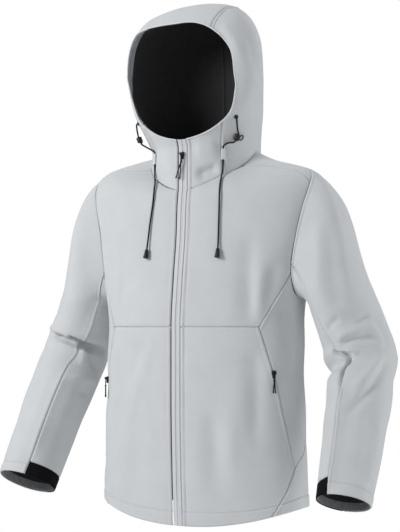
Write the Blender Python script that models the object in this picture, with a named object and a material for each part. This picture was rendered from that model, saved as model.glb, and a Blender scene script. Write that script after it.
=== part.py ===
"""Hooded softshell jacket in its worn, filled-out form, with no wearer inside.

Metres, +Z up. The jacket faces -Y and the wearer's left is +X. The origin is the middle of
the neck opening, level with the side neck points, where the wearer's shoulders hold it up.
Each panel is a cloth wall: a grid that is laid on a surface worked out from the section
tables below, and then given its thickness inwards along the surface's own normals.
"""

import math
from collections import namedtuple

import bmesh
import bpy
from mathutils import Matrix, Vector

# Cloth and seams
WALL = 0.0018
LINING_WALL = 0.0012
SEAM_GAP = 0.0003
LINING_GAP = 0.0006
STEP = 3e-4
FINE = 80

# Neck seam seen from above
NECK_HALF_WIDTH = 0.108
NECK_FRONT = 0.087
NECK_BACK = 0.088

# Hem
HEM_FRONT = -0.686
HEM_SIDE_RISE = 0.036
HEM_BACK_RISE = 0.006

# Zip and front edges
ZIP_HALF = 0.0105
ZIP_RECESS = 0.0009
TAPE_WALL = 0.0010

# Front and side seams, as an angle round the body in degrees from the front, and a height
CHEST_SEAM = -0.320
CHEST_CORNER = 49.5
POCKET_LOW = (78.0, -0.578)
SIDE_TIP = 1.6
BACK_SEAM = 104.0
BACK_SEAM_TURN = -0.500
HEM_SEAM = 47.0

# Armhole, as angles round the body and heights
ARMHOLE_MIDDLE = -0.150
ARMHOLE_HALF_HEIGHT = 0.114
ARMHOLE_FRONT = 22.0
ARMHOLE_BACK = 24.0
ARMHOLE_FULLNESS = 0.85
YOKE_AT_ARMHOLE = 40.0
SIDE_AT_ARMHOLE = 127.0
BACK_AT_ARMHOLE = 212.0
SHOULDER_AT_ARMHOLE = 306.25
BLADE_TURN = 138.0

# Forward shoulder seam at the neck, as an angle of the neck seam
YOKE_AT_NECK = 66.0

# A point deep inside the chest, from which the shoulders are reached
CHEST_MIDDLE = Vector((0.0, 0.015, -0.170))

# Hood
HOOD_MIDDLE = Vector((0.0, -0.010, 0.135))
HOOD_TOP = 0.303
HOOD_LEAN = 3.4
HOOD_POLE_Y = 0.035
HOOD_ROUND = 2.7
CHIN = 0.026
FACE_AT_CHIN = -0.0928
BROW = 0.258
FACE_AT_BROW = -0.0780
BAND_HALF = 0.058
BAND_HALF_NAPE = 0.044
COLLAR_SEAM = 44.0
COLLAR_SEAM_ROWS = (0, 0.34, 0.47, 0.68, 1)
COLLAR_ZIP_ROWS = (0, 0.5, 0.79, 0.90, 1)

# Sleeve seams, as an angle round the sleeve: 0 outward, 90 forward, 180 towards the body
SLEEVE_FRONT_SEAM = 119.0
SLEEVE_BACK_SEAM = 250.0
CUFF_BAND = 0.027
CUFF_LINING = 0.050
CUFF_MEASURED_AT = 190.0
CAP_SHARE = 0.30
CAP_FULLNESS = 1.05
ARM_REACH = 0.12

# Linings
LINING_SETBACK = 0.0015
COLLECTION = "outdoor_jacket"
JOINED = "joined_shapes"

# Zip sliders: sizes across, out and up, and the pull that hangs on each
ZIP_SLIDER_AT = -0.0025
POCKET_SLIDERS_AT = (-0.405, -0.422)
SLIDER = (0.0080, 0.0032, 0.0130)
LUG = (0.0013, 0.0042, 0.0040)
LUG_X = 0.00275
LUG_Y = -0.0048
LUG_Z = 0.0030
PIN_Y = -0.0053
PIN_RADIUS = 0.0010
PIN_LENGTH = 0.0036
TAB_WIDTH = 0.0032
TAB_THICK = 0.0014
TAB_LENGTH = 0.0160
STRAND_RADIUS = 0.0011
STRAND_TIE = 0.003

# Drawcords: out of the hood's eyelet, through a lock and a sewn tab, and down the chest
CORD_RADIUS = 0.0016
LOCK_RADIUS = 0.0052
LOCK_GAP = 0.0009
LOCK_RING = 0.0048
LOCK_RING_WIRE = 0.0011
EYELET = (0.1056, -0.0734, 0.0624)
EYELET_RADIUS = 0.0032
EYELET_WIRE = 0.0008
CORD_TAB = (0.0731, -0.0641, -0.0023)
CORD_TAB_SIZE = (0.0076, 0.0036, 0.0200)
CORD_END = 0.0170
CORD_END_RADII = (0.0030, 0.0050)
CORD_UPPER = (
    (0.1060, -0.0738, 0.0622),
    (0.1077, -0.0752, 0.0612),
    (0.1083, -0.0757, 0.0589),
    (0.1078, -0.0746, 0.0552),
    (0.1062, -0.0705, 0.0480),
    (0.1046, -0.0655, 0.0400),
    (0.1033, -0.0605, 0.0327),
)
CORD_UPPER_RIGHT = (
    (0.1060, -0.0738, 0.0622),
    (0.1077, -0.0752, 0.0612),
    (0.1085, -0.0757, 0.0586),
    (0.1090, -0.0745, 0.0540),
    (0.1094, -0.0722, 0.0475),
    (0.1097, -0.0696, 0.0420),
    (0.1095, -0.0679, 0.0371),
)
CORD_MIDDLE = (
    (0.0963, -0.0586, 0.0218),
    (0.0948, -0.0590, 0.0196),
    (0.0915, -0.0606, 0.0184),
    (0.0873, -0.0626, 0.0182),
    (0.0826, -0.0641, 0.0170),
    (0.0784, -0.0652, 0.0148),
    (0.0754, -0.0658, 0.0124),
    (0.0744, -0.0658, 0.0103),
    (0.0743, -0.0658, 0.0081),
)
CORD_MIDDLE_RIGHT = (
    (0.1046, -0.0673, 0.0274),
    (0.1035, -0.0672, 0.0251),
    (0.1000, -0.0672, 0.0228),
    (0.0950, -0.0674, 0.0208),
    (0.0900, -0.0674, 0.0186),
    (0.0850, -0.0668, 0.0164),
    (0.0800, -0.0662, 0.0140),
    (0.0760, -0.0659, 0.0119),
    (0.0745, -0.0658, 0.0102),
    (0.0743, -0.0658, 0.0081),
)
CORD_HANGING = (
    (0.0743, -0.0658, -0.0126),
    (0.0743, -0.0660, -0.0200),
    (0.0743, -0.0672, -0.0285),
    (0.0746, -0.0706, -0.0385),
    (0.0760, -0.0772, -0.0492),
    (0.0784, -0.0848, -0.0610),
    (0.0797, -0.0890, -0.0752),
    (0.0802, -0.0908, -0.0922),
    (0.0803, -0.0919, -0.1103),
    (0.0802, -0.0930, -0.1307),
    (0.0804, -0.0944, -0.1522),
    (0.0808, -0.0961, -0.1677),
    (0.0812, -0.0978, -0.1772),
)
CORD_HANGING_RIGHT = (
    (0.0743, -0.0658, -0.0126),
    (0.0740, -0.0660, -0.0200),
    (0.0730, -0.0674, -0.0285),
    (0.0705, -0.0708, -0.0385),
    (0.0665, -0.0768, -0.0485),
    (0.0630, -0.0846, -0.0590),
    (0.0613, -0.0893, -0.0703),
    (0.0618, -0.0915, -0.0873),
    (0.0642, -0.0929, -0.1067),
    (0.0670, -0.0939, -0.1271),
    (0.0694, -0.0951, -0.1498),
    (0.0705, -0.0967, -0.1641),
    (0.0709, -0.0986, -0.1748),
)

Section = namedtuple("Section", "height half_width middle_y front back square")
TORSO = (
    Section(-0.720, 0.2140, -0.010, 0.0910, 0.1210, 2.20),
    Section(-0.600, 0.2100, -0.012, 0.0970, 0.1220, 2.20),
    Section(-0.450, 0.2035, -0.014, 0.0990, 0.1240, 2.20),
    Section(-0.320, 0.2010, -0.014, 0.0990, 0.1290, 2.20),
    Section(-0.230, 0.2110, -0.012, 0.0930, 0.1360, 2.25),
    Section(-0.150, 0.2270, -0.008, 0.0870, 0.1400, 2.30),
    Section(-0.100, 0.2370, -0.006, 0.0860, 0.1380, 2.30),
    Section(-0.070, 0.2410, -0.005, 0.0830, 0.1310, 2.30),
    Section(-0.050, 0.2370, -0.004, 0.0720, 0.1220, 2.25),
    Section(-0.035, 0.2220, -0.003, 0.0560, 0.1140, 2.20),
    Section(-0.022, 0.1890, -0.002, 0.0390, 0.1060, 2.20),
    Section(-0.008, 0.1440, -0.001, 0.0250, 0.0960, 2.10),
    Section(0.008, 0.1080, 0.000, 0.0150, 0.0880, 2.00),
    Section(0.040, 0.0800, 0.000, 0.0100, 0.0760, 2.00),
)
HOOD = (
    Section(-0.090, NECK_HALF_WIDTH, 0.000, NECK_FRONT, NECK_BACK, 2.00),
    Section(0.010, NECK_HALF_WIDTH, 0.000, NECK_FRONT, NECK_BACK, 2.00),
    Section(0.026, 0.1115, -0.009, 0.0838, 0.0980, 2.00),
    Section(0.040, 0.1160, -0.017, 0.0855, 0.1030, 2.00),
    Section(0.062, 0.1225, -0.029, 0.0870, 0.1100, 2.00),
    Section(0.110, 0.1335, -0.048, 0.0600, 0.1240, 2.00),
    Section(0.145, 0.1385, -0.058, 0.0430, 0.1330, 2.00),
)
HOOD_EQUATOR = HOOD[-1]

Station = namedtuple("Station", "x y z half_out half_fore")
LEFT_ARM = (
    Station(0.2730, 0.008, -0.2580, 0.0560, 0.0690),
    Station(0.2930, 0.018, -0.3160, 0.0610, 0.0670),
    Station(0.3090, 0.022, -0.3700, 0.0640, 0.0640),
    Station(0.3200, -0.002, -0.4260, 0.0590, 0.0610),
    Station(0.3270, -0.046, -0.5040, 0.0545, 0.0560),
    Station(0.3330, -0.092, -0.5860, 0.0500, 0.0480),
    Station(0.3340, -0.110, -0.6210, 0.0485, 0.0450),
)
RIGHT_ARM = (
    Station(0.2690, 0.010, -0.2520, 0.0560, 0.0690),
    Station(0.2940, 0.022, -0.3080, 0.0610, 0.0670),
    Station(0.3160, 0.026, -0.3560, 0.0640, 0.0650),
    Station(0.3250, 0.004, -0.4100, 0.0665, 0.0640),
    Station(0.3350, -0.042, -0.4960, 0.0640, 0.0610),
    Station(0.3430, -0.084, -0.5840, 0.0600, 0.0570),
    Station(0.3460, -0.106, -0.6250, 0.0590, 0.0550),
)

# The wearer's right shoulder is raised with the arm
RIGHT_SHOULDER_LIFT = 0.016

# Folds: a place and half sizes in a panel's own parameters, and the depth that is pressed in
Fold = namedtuple("Fold", "angle half_angle along half_along depth")
SLEEVE_FOLDS = (
    Fold(110.0, 95.0, 0.505, 0.042, 0.0085),
    Fold(120.0, 90.0, 0.445, 0.046, -0.0050),
    Fold(105.0, 90.0, 0.570, 0.050, -0.0055),
    Fold(140.0, 60.0, 0.640, 0.046, 0.0045),
    Fold(50.0, 55.0, 0.400, 0.060, 0.0035),
    Fold(20.0, 50.0, 0.610, 0.075, 0.0040),
    Fold(290.0, 60.0, 0.480, 0.060, 0.0040),
    Fold(70.0, 45.0, 0.780, 0.070, 0.0030),
)
TORSO_FOLDS = (
    Fold(20.0, 11.0, -0.540, 0.120, 0.0040),
    Fold(38.0, 10.0, -0.470, 0.110, -0.0030),
    Fold(-24.0, 12.0, -0.560, 0.100, 0.0040),
    Fold(-40.0, 12.0, -0.450, 0.110, 0.0030),
    Fold(88.0, 20.0, -0.420, 0.110, 0.0045),
    Fold(-92.0, 20.0, -0.440, 0.110, 0.0045),
    Fold(150.0, 22.0, -0.400, 0.140, 0.0050),
    Fold(-155.0, 22.0, -0.430, 0.140, 0.0050),
    Fold(178.0, 18.0, -0.560, 0.090, 0.0040),
)

LEFT = 1
RIGHT = -1
SIDES = (("left", LEFT), ("right", RIGHT))


# Numbers and curves

def blend(a, b, t):
    return a + (b - a) * t


def ease(t):
    t = min(1.0, max(0.0, t))
    return t * t * (3 - 2 * t)


def power(value, exponent):
    return math.copysign(abs(value) ** exponent, value)


def solve(function, low, high):
    """The place between low and high where a rising function passes zero."""
    for _ in range(40):
        middle = (low + high) / 2
        if function(middle) < 0:
            low = middle
        else:
            high = middle
    return (low + high) / 2


def slope(x, y, i):
    """A limited slope at row i, so that the curve between rows never overshoots them."""
    if i == 0 or i == len(x) - 1:
        j = min(i, len(x) - 2)
        return (y[j + 1] - y[j]) / (x[j + 1] - x[j])
    before = (y[i] - y[i - 1]) / (x[i] - x[i - 1])
    after = (y[i + 1] - y[i]) / (x[i + 1] - x[i])
    if before * after <= 0:
        return 0.0
    return 2 * before * after / (before + after)


def curve_value(x, y, at):
    """A smooth curve through the rows (x, y)."""
    at = min(max(at, x[0]), x[-1])
    i = max(k for k in range(len(x) - 1) if x[k] <= at)
    width = x[i + 1] - x[i]
    t = (at - x[i]) / width
    start, end = slope(x, y, i) * width, slope(x, y, i + 1) * width
    return (
        (2 * t**3 - 3 * t**2 + 1) * y[i]
        + (t**3 - 2 * t**2 + t) * start
        + (3 * t**2 - 2 * t**3) * y[i + 1]
        + (t**3 - t**2) * end
    )


def section_at(table, height):
    heights = [row.height for row in table]
    columns = list(zip(*table))[1:]
    return Section(height, *(curve_value(heights, column, height) for column in columns))


def spline_point(points, t):
    """The point a share t along a smooth curve through the points."""
    if len(points) == 2:
        return points[0].lerp(points[1], t)
    place = min(t * (len(points) - 1), len(points) - 1 - 1e-6)
    i = int(place)
    t = place - i
    before = points[i - 1] if i else points[0] * 2 - points[1]
    after = points[i + 2] if i + 2 < len(points) else points[-1] * 2 - points[-2]
    a, b = points[i], points[i + 1]
    bend = before * 2 - a * 5 + b * 4 - after
    twist = a * 3 - before - b * 3 + after
    return a + ((b - before) * t + bend * t**2 + twist * t**3) / 2


def evenly(place, points, count):
    """Parameter points at equal steps, by length on the surface, along a smooth run."""
    fine = [spline_point(points, i / FINE) for i in range(FINE + 1)]
    spots = [place(p) for p in fine]
    far = [0.0]
    for a, b in zip(spots, spots[1:]):
        far.append(far[-1] + (b - a).length)
    run = [points[0]]
    for k in range(1, count):
        goal = far[-1] * k / count
        i = max(j for j in range(FINE) if far[j] <= goal)
        run.append(fine[i].lerp(fine[i + 1], (goal - far[i]) / (far[i + 1] - far[i])))
    return run + [points[-1]]


def steps(start, end, count):
    return [blend(start, end, i / count) for i in range(count + 1)]


# The torso: rings by height, with an angle round the body in degrees from the front

def ring_point(section, angle):
    turn = math.radians(angle)
    x = section.half_width * power(math.sin(turn), 2 / section.square)
    depth = section.front if math.cos(turn) > 0 else section.back
    y = section.middle_y - depth * power(math.cos(turn), 2 / section.square)
    return Vector((x, y, section.height))


def torso(angle, height):
    return ring_point(section_at(TORSO, height), angle)


def ring_angle(section, x, y):
    """The ring angle whose point lies in the direction of (x, y)."""
    depth = section.front if y < section.middle_y else section.back
    across = power(x / section.half_width, section.square / 2)
    along = power((section.middle_y - y) / depth, section.square / 2)
    return math.degrees(math.atan2(across, along)) % 360


def outside(section, x, y):
    """Below zero where (x, y) is inside the ring."""
    depth = section.front if y < section.middle_y else section.back
    across = abs(x / section.half_width) ** section.square
    return across + abs((y - section.middle_y) / depth) ** section.square - 1


def torso_from_above(x, y):
    """The angle and height where the shoulder's surface lies over the plan point (x, y)."""
    height = solve(lambda z: outside(section_at(TORSO, z), x, y), -0.12, 0.04)
    return ring_angle(section_at(TORSO, height), x, y), height


def torso_spot(at):
    return torso(at.x, at.y)


def front_edge(height):
    """The parameters of the front's zip edge at a height."""
    section = section_at(TORSO, height)
    angle = math.degrees(math.asin((ZIP_HALF / section.half_width) ** (section.square / 2)))
    return Vector((angle, height))


def hem(angle):
    turn = math.radians(angle)
    back = HEM_BACK_RISE if math.cos(turn) < 0 else 0.0
    rise = HEM_SIDE_RISE * math.sin(turn) ** 2 + back * math.cos(turn) ** 2
    return Vector((angle, HEM_FRONT + rise))


def neck(angle):
    """The neck seam's parameters on the torso, from its plan angle."""
    turn = math.radians(angle)
    depth = NECK_FRONT if math.cos(turn) > 0 else NECK_BACK
    return Vector(torso_from_above(NECK_HALF_WIDTH * math.sin(turn), -depth * math.cos(turn)))


def armhole(angle):
    """The armhole's parameters on the torso: 0 is its top, 90 its front, 180 the underarm."""
    turn = math.radians(angle)
    half = ARMHOLE_FRONT if math.sin(turn) > 0 else ARMHOLE_BACK
    round_it = 90 - half * power(math.sin(turn), ARMHOLE_FULLNESS)
    height = ARMHOLE_MIDDLE + ARMHOLE_HALF_HEIGHT * power(math.cos(turn), ARMHOLE_FULLNESS)
    return Vector((round_it, height))


def mirrored(run):
    return [Vector((360 - at.x, at.y)) for at in run]


# The hood: rings up to its widest height, and a dome that leans forward above it

def hood_section(y, z):
    """The ring that passes a point's height, once the forward lean is taken out."""
    if z <= HOOD_EQUATOR.height:
        return section_at(HOOD, z)
    rise = (z - HOOD_EQUATOR.height) / (HOOD_TOP - HOOD_EQUATOR.height)
    rise += HOOD_LEAN * max(0.0, HOOD_POLE_Y - y) ** 2 * rise / (HOOD_TOP - HOOD_EQUATOR.height)
    size = max(1e-4, 1 - min(1.0, rise) ** HOOD_ROUND) ** (1 / HOOD_ROUND)
    e = HOOD_EQUATOR
    return Section(z, e.half_width * size, e.middle_y, e.front * size, e.back * size, e.square)


def hood_slice(x, turn):
    """The hood's point at x, in a direction in degrees from the front, upwards, over and back."""
    angle = math.radians(turn)
    way = Vector((0.0, -math.cos(angle), math.sin(angle)))

    def past(reach):
        p = HOOD_MIDDLE + way * reach
        return outside(hood_section(p.y, p.z), x, p.y)

    return Vector((x, 0, 0)) + HOOD_MIDDLE + way * solve(past, 0.0, 0.30)


def hood_side(y, z):
    """The hood's point on the wearer's left at y and z."""
    section = hood_section(y, z)
    depth = section.front if y < section.middle_y else section.back
    share = max(0.0, 1 - abs((y - section.middle_y) / depth) ** section.square)
    return Vector((section.half_width * share ** (1 / section.square), y, z))


def hood_field(p):
    """Below zero inside the hood's form."""
    return outside(hood_section(p.y, p.z), p.x, p.y)


def torso_field(p):
    return outside(section_at(TORSO, p.z), p.x, p.y)


def on_form(field, middle, point):
    """The form's point on the ray from its middle through a point."""
    way = (point - middle).normalized()
    return middle + way * solve(lambda reach: field(middle + way * reach), 0.0, 0.35)


def on_hood(point):
    return on_form(hood_field, HOOD_MIDDLE, point)


def on_shoulder(point):
    return on_form(torso_field, CHEST_MIDDLE, point)


def gradient(field, point):
    """The unit way out of a form whose field is below zero inside."""
    slopes = []
    for axis in range(3):
        shift = Vector((0, 0, 0))
        shift[axis] = STEP
        slopes.append(field(point + shift) - field(point - shift))
    return Vector(slopes).normalized()


def face(z):
    """How far forward the hood's face edge lies at a height."""
    return FACE_AT_CHIN + (FACE_AT_BROW - FACE_AT_CHIN) * (z - CHIN) / (BROW - CHIN)


def face_spot(z):
    return hood_side(face(z), z)


def chin_spot(angle):
    """The chin edge's point at a ring angle."""
    def past(z):
        section = section_at(HOOD, z)
        edge = math.acos(min(1.0, (section.middle_y - face(z)) / section.front))
        return math.degrees(edge) - angle

    return ring_point(section_at(HOOD, solve(past, CHIN, 0.10)), angle)


def collar_edge(z):
    """The collar's zip edge at a height."""
    section = section_at(HOOD, z)
    return ring_point(section, math.degrees(math.asin(ZIP_HALF / section.half_width)))


def brow_turn(x):
    """The slice direction in which the hood meets its face edge at x."""
    def behind(turn):
        p = hood_slice(x, turn)
        return p.y - face(p.z)

    return solve(behind, 15.0, 110.0)


def nape_turn(x):
    height = neck(180.0 - math.degrees(math.asin(x / NECK_HALF_WIDTH))).y
    return solve(lambda turn: height - hood_slice(x, turn).z, 150.0, 245.0)


# The sleeves: an armhole ring, a rounded cap, and rings along the arm

def arm_at(stations, t):
    rows = [i / (len(stations) - 1) for i in range(len(stations))]
    return Station(*(curve_value(rows, column, t) for column in zip(*stations)))


def arm_ring(stations, t, angle):
    """A point of the ring a share t along the arm, and the arm's direction there."""
    here = arm_at(stations, t)
    low = Vector(arm_at(stations, max(0.0, t - ARM_REACH))[:3])
    high = Vector(arm_at(stations, min(1.0, t + ARM_REACH))[:3])
    way = (high - low).normalized()
    out = (Vector((1, 0, 0)) - way * way.x).normalized()
    fore = way.cross(out)
    turn = math.radians(angle)
    ring = out * (here.half_out * math.cos(turn)) + fore * (here.half_fore * math.sin(turn))
    return Vector(here[:3]) + ring, way


def sleeve(side, angle, along):
    """A point of the sleeve's plain form: along 0 is the armhole and 1 the cuff's edge."""
    stations = LEFT_ARM if side == LEFT else RIGHT_ARM
    if along >= CAP_SHARE:
        return arm_ring(stations, (along - CAP_SHARE) / (1 - CAP_SHARE), angle)[0]
    start = torso_spot(armhole(angle))
    end, way = arm_ring(stations, 0.0, angle)
    t = along / CAP_SHARE
    span = (end - start).length * CAP_FULLNESS
    turn = math.radians(angle)
    leave = Vector((0.90, -0.12 * math.sin(turn), -0.50 - 0.22 * (1 - math.cos(turn)))).normalized()
    return (
        start * (2 * t**3 - 3 * t**2 + 1)
        + leave * (span * (t**3 - 2 * t**2 + t))
        + end * (3 * t**2 - 2 * t**3)
        + way * (span * (t**3 - t**2))
    )


def sleeve_way(side, angle, along):
    """The sleeve's unit normal."""
    low, high = max(0.0, along - 0.004), min(1.0, along + 0.004)
    across = sleeve(side, angle + 0.5, along) - sleeve(side, angle - 0.5, along)
    return across.cross(sleeve(side, angle, high) - sleeve(side, angle, low)).normalized()


def cuff_along(side, length):
    """How far along the sleeve a ring lies at a length above the cuff's edge."""
    edge = sleeve(side, CUFF_MEASURED_AT, 1.0)
    return solve(lambda a: length - (sleeve(side, CUFF_MEASURED_AT, a) - edge).length, 0.7, 1.0)


def pressed(folds, angle, along):
    """How deep the folds press the cloth in at a place."""
    total = 0.0
    for fold in folds:
        turn = ((angle - fold.angle + 180) % 360 - 180) / fold.half_angle
        off = (along - fold.along) / fold.half_along
        if abs(turn) < 1 and abs(off) < 1:
            total += fold.depth * (math.cos(turn * math.pi / 2) * math.cos(off * math.pi / 2)) ** 2
    return total


# Panels: a sheet of points between four edges, given a wall along the surface's normals

def key(point):
    return tuple(round(c, 6) for c in point)


def patch(bottom, right, top, left):
    """Rows of a smooth patch between four runs. Bottom and top go right, left and right go up."""
    columns, count = len(bottom) - 1, len(left) - 1
    rows = []
    for j in range(count + 1):
        v = j / count
        row = []
        for i in range(columns + 1):
            u = i / columns
            corners = bottom[0].lerp(bottom[-1], u).lerp(top[0].lerp(top[-1], u), v)
            row.append(left[j].lerp(right[j], u) + bottom[i].lerp(top[i], v) - corners)
        rows.append([left[j]] + row[1:-1] + [right[j]])
    return [bottom] + rows[1:-1] + [top]


def on_rows(project, edges):
    """A patch between four runs of points, whose inner points are put on a form."""
    rows = patch(**edges)
    inside = [[row[0]] + [project(p) for p in row[1:-1]] + [row[-1]] for row in rows[1:-1]]
    return [rows[0]] + inside + [rows[-1]]


def lay(sheet, rows):
    """Adds an open grid that lies on rows of points."""
    columns, count = len(rows[0]) - 1, len(rows) - 1
    made = bmesh.ops.create_grid(sheet, x_segments=columns, y_segments=count, size=1.0)
    for vert in made["verts"]:
        i = round((vert.co.x + 1) / 2 * columns)
        j = round((vert.co.y + 1) / 2 * count)
        vert.co = rows[j][i]


def seam_inset(edge):
    return SEAM_GAP / 2


def edge_shift(vert, way, inset):
    """How far a sheet's edge point is drawn in, square to the edges that meet there."""
    pulls = []
    for edge in vert.link_edges:
        if edge.is_boundary:
            across = way.cross(edge.other_vert(vert).co - vert.co).normalized()
            inner = edge.link_faces[0].calc_center_median() - vert.co
            pulls.append((across if across.dot(inner) > 0 else -across, inset(edge)))
    if not pulls:
        return Vector((0, 0, 0))
    (a, near), (b, far) = pulls
    along = max(-0.9, a.dot(b))
    if along > 0.995:
        return a * near
    return (a * (near - far * along) + b * (far - near * along)) / (1 - along * along)


def wall(name, sheet, ways, finish, side=LEFT, thickness=WALL, depth=0.0, inset=seam_inset):
    """Makes an open sheet a closed wall, inwards from a depth under its surface."""
    bmesh.ops.remove_doubles(sheet, verts=sheet.verts, dist=1e-6)
    outer = {}
    inner = {}
    for vert in sheet.verts:
        at = key(vert.co)
        spot = vert.co + edge_shift(vert, ways[at], inset)
        outer[at] = spot - ways[at] * depth
        inner[at] = spot - ways[at] * (depth + thickness)
    made = bmesh.ops.extrude_face_region(sheet, geom=sheet.faces[:], use_keep_orig=True)
    raised = {g for g in made["geom"] if isinstance(g, bmesh.types.BMVert)}
    for vert in sheet.verts:
        vert.co = outer[key(vert.co)] if vert in raised else inner[key(vert.co)]
        vert.co.x *= side
        vert.co = posed(vert.co)
    bmesh.ops.triangulate(sheet, faces=sheet.faces, quad_method="SHORT_EDGE")
    bmesh.ops.recalc_face_normals(sheet, faces=sheet.faces)
    if sheet.calc_volume(signed=True) < 0:
        bmesh.ops.reverse_faces(sheet, faces=sheet.faces)
    return add_object(name, sheet, finish)


def posed(point):
    """A point of the even garment, moved with the raised right shoulder."""
    share = ease((-point.x - 0.06) / 0.14) * ease((point.z + 0.25) / 0.16)
    return point + Vector((0, 0, RIGHT_SHOULDER_LIFT * share))


def add_object(name, sheet, finish, collection=COLLECTION):
    mesh = bpy.data.meshes.new(name)
    sheet.to_mesh(mesh)
    sheet.free()
    mesh.shade_smooth()
    mesh.set_sharp_from_angle(angle=math.radians(35))
    mesh.materials.append(finish)
    made = bpy.data.objects.new(name, mesh)
    bpy.data.collections[collection].objects.link(made)
    return made


# The seams, each sampled once, so that the panels on its two sides share its points

ARMHOLE_STOPS = (
    steps(YOKE_AT_ARMHOLE, SLEEVE_FRONT_SEAM, 5)
    + steps(SLEEVE_FRONT_SEAM, SIDE_AT_ARMHOLE, 1)[1:]
    + steps(SIDE_AT_ARMHOLE, BACK_AT_ARMHOLE, 4)[1:]
    + steps(BACK_AT_ARMHOLE, SLEEVE_BACK_SEAM, 2)[1:]
    + steps(SLEEVE_BACK_SEAM, YOKE_AT_ARMHOLE + 360, 8)[1:]
)
NAPE_PLAN = 180 - math.degrees(math.asin(BAND_HALF_NAPE / NECK_HALF_WIDTH))
ZIP_PLAN = math.degrees(math.asin(ZIP_HALF / NECK_HALF_WIDTH))


def armhole_run(start, end):
    return [armhole(stop) for stop in ARMHOLE_STOPS if start - 0.01 < stop < end + 0.01]


def neck_run(start, end, count):
    return [neck(angle) for angle in steps(start, end, count)]


def yoke_run():
    """The forward shoulder seam, straight from above, from the neck to the armhole."""
    near = torso_spot(neck(YOKE_AT_NECK))
    far = torso_spot(armhole(YOKE_AT_ARMHOLE))
    between = [near.lerp(far, t) for t in (1 / 3, 2 / 3)]
    inner = [Vector(torso_from_above(p.x, p.y)) for p in between]
    return [neck(YOKE_AT_NECK)] + inner + [armhole(YOKE_AT_ARMHOLE)]


def torso_seams():
    corner = Vector((CHEST_CORNER, CHEST_SEAM))
    low = Vector(POCKET_LOW)
    tip = low + Vector((SIDE_TIP, 0))
    turn = Vector((BACK_SEAM, BACK_SEAM_TURN))
    side_line = [
        armhole(BACK_AT_ARMHOLE),
        Vector((BACK_SEAM, -0.330)),
        Vector((BACK_SEAM, -0.420)),
        turn,
        turn + Vector((-9, -0.046)),
        tip,
    ]
    hem_end = hem(HEM_SEAM)
    bow = low.lerp(hem_end, 0.5) + Vector((3.0, -0.006))
    return {
        "chest": evenly(torso_spot, [front_edge(CHEST_SEAM), corner], 9),
        "diagonal": evenly(torso_spot, [corner, armhole(SIDE_AT_ARMHOLE)], 3),
        "pocket": evenly(torso_spot, [corner, corner.lerp(low, 0.5) + Vector((2.0, 0)), low], 8),
        "side": evenly(torso_spot, side_line, 11),
        "hem_seam": evenly(torso_spot, [low, bow, hem_end], 4),
        "tip": [low, tip],
        "yoke": yoke_run(),
        "neck_collar": neck_run(ZIP_PLAN, COLLAR_SEAM, 4),
        "neck_front": neck_run(COLLAR_SEAM, YOKE_AT_NECK, 2),
        "neck_side": neck_run(YOKE_AT_NECK, NAPE_PLAN, 6),
        "neck_nape": neck_run(NAPE_PLAN, 360 - NAPE_PLAN, 6),
        "arm_front": armhole_run(YOKE_AT_ARMHOLE, SIDE_AT_ARMHOLE),
        "arm_under": armhole_run(SIDE_AT_ARMHOLE, BACK_AT_ARMHOLE),
        "arm_back": armhole_run(BACK_AT_ARMHOLE, SHOULDER_AT_ARMHOLE),
        "arm_top": armhole_run(SHOULDER_AT_ARMHOLE, YOKE_AT_ARMHOLE + 360),
    }


def chain(*runs):
    """Runs joined end to end."""
    return runs[0] + [at for run in runs[1:] for at in run[1:]]


def shared_ways(seams):
    """The wall's way at the armhole and the neck, half-way between the two surfaces there."""
    ways = {}

    def share(at, other):
        spot = torso_spot(at)
        ways[key(spot)] = (gradient(torso_field, spot) + other).normalized()

    for stop in ARMHOLE_STOPS:
        way = sleeve_way(LEFT, stop, 0.0)
        at = armhole(stop)
        share(at, way)
        share(mirrored([at])[0], Vector((-way.x, way.y, way.z)))
    for at in chain(seams["neck_collar"], seams["neck_front"], seams["neck_side"], seams["neck_nape"]):
        share(at, gradient(hood_field, torso_spot(at)))
    for at in mirrored(seams["neck_side"]):
        share(at, gradient(hood_field, torso_spot(at)))
    return ways


def torso_rows(edges, side, shared, ways):
    """Rows of a body panel's points, with the folds pressed in. Its ways out go into ways."""
    rows = []
    for row in patch(**edges):
        spots = []
        for at in row:
            spot = torso_spot(at)
            way = gradient(torso_field, spot)
            depth = pressed(TORSO_FOLDS, at.x * side, at.y)
            if depth:
                spot = spot - way * depth
            ways[key(spot)] = shared.get(key(spot), way)
            spots.append(spot)
        rows.append(spots)
    return rows


def torso_panel(name, shared, finish, side, **edges):
    ways = {}
    sheet = bmesh.new()
    lay(sheet, torso_rows(edges, side, shared, ways))
    return wall(name, sheet, ways, finish, side)


def zip_heights(seams):
    """Heights of the rows along the zip, from the hem up to the chin."""
    top = seams["neck_collar"][0].y
    return {
        "lower": steps(HEM_FRONT, CHEST_SEAM, 12),
        "upper": steps(CHEST_SEAM, top, 9),
        "collar": [blend(top, CHIN, t) for t in COLLAR_ZIP_ROWS],
    }


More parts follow.
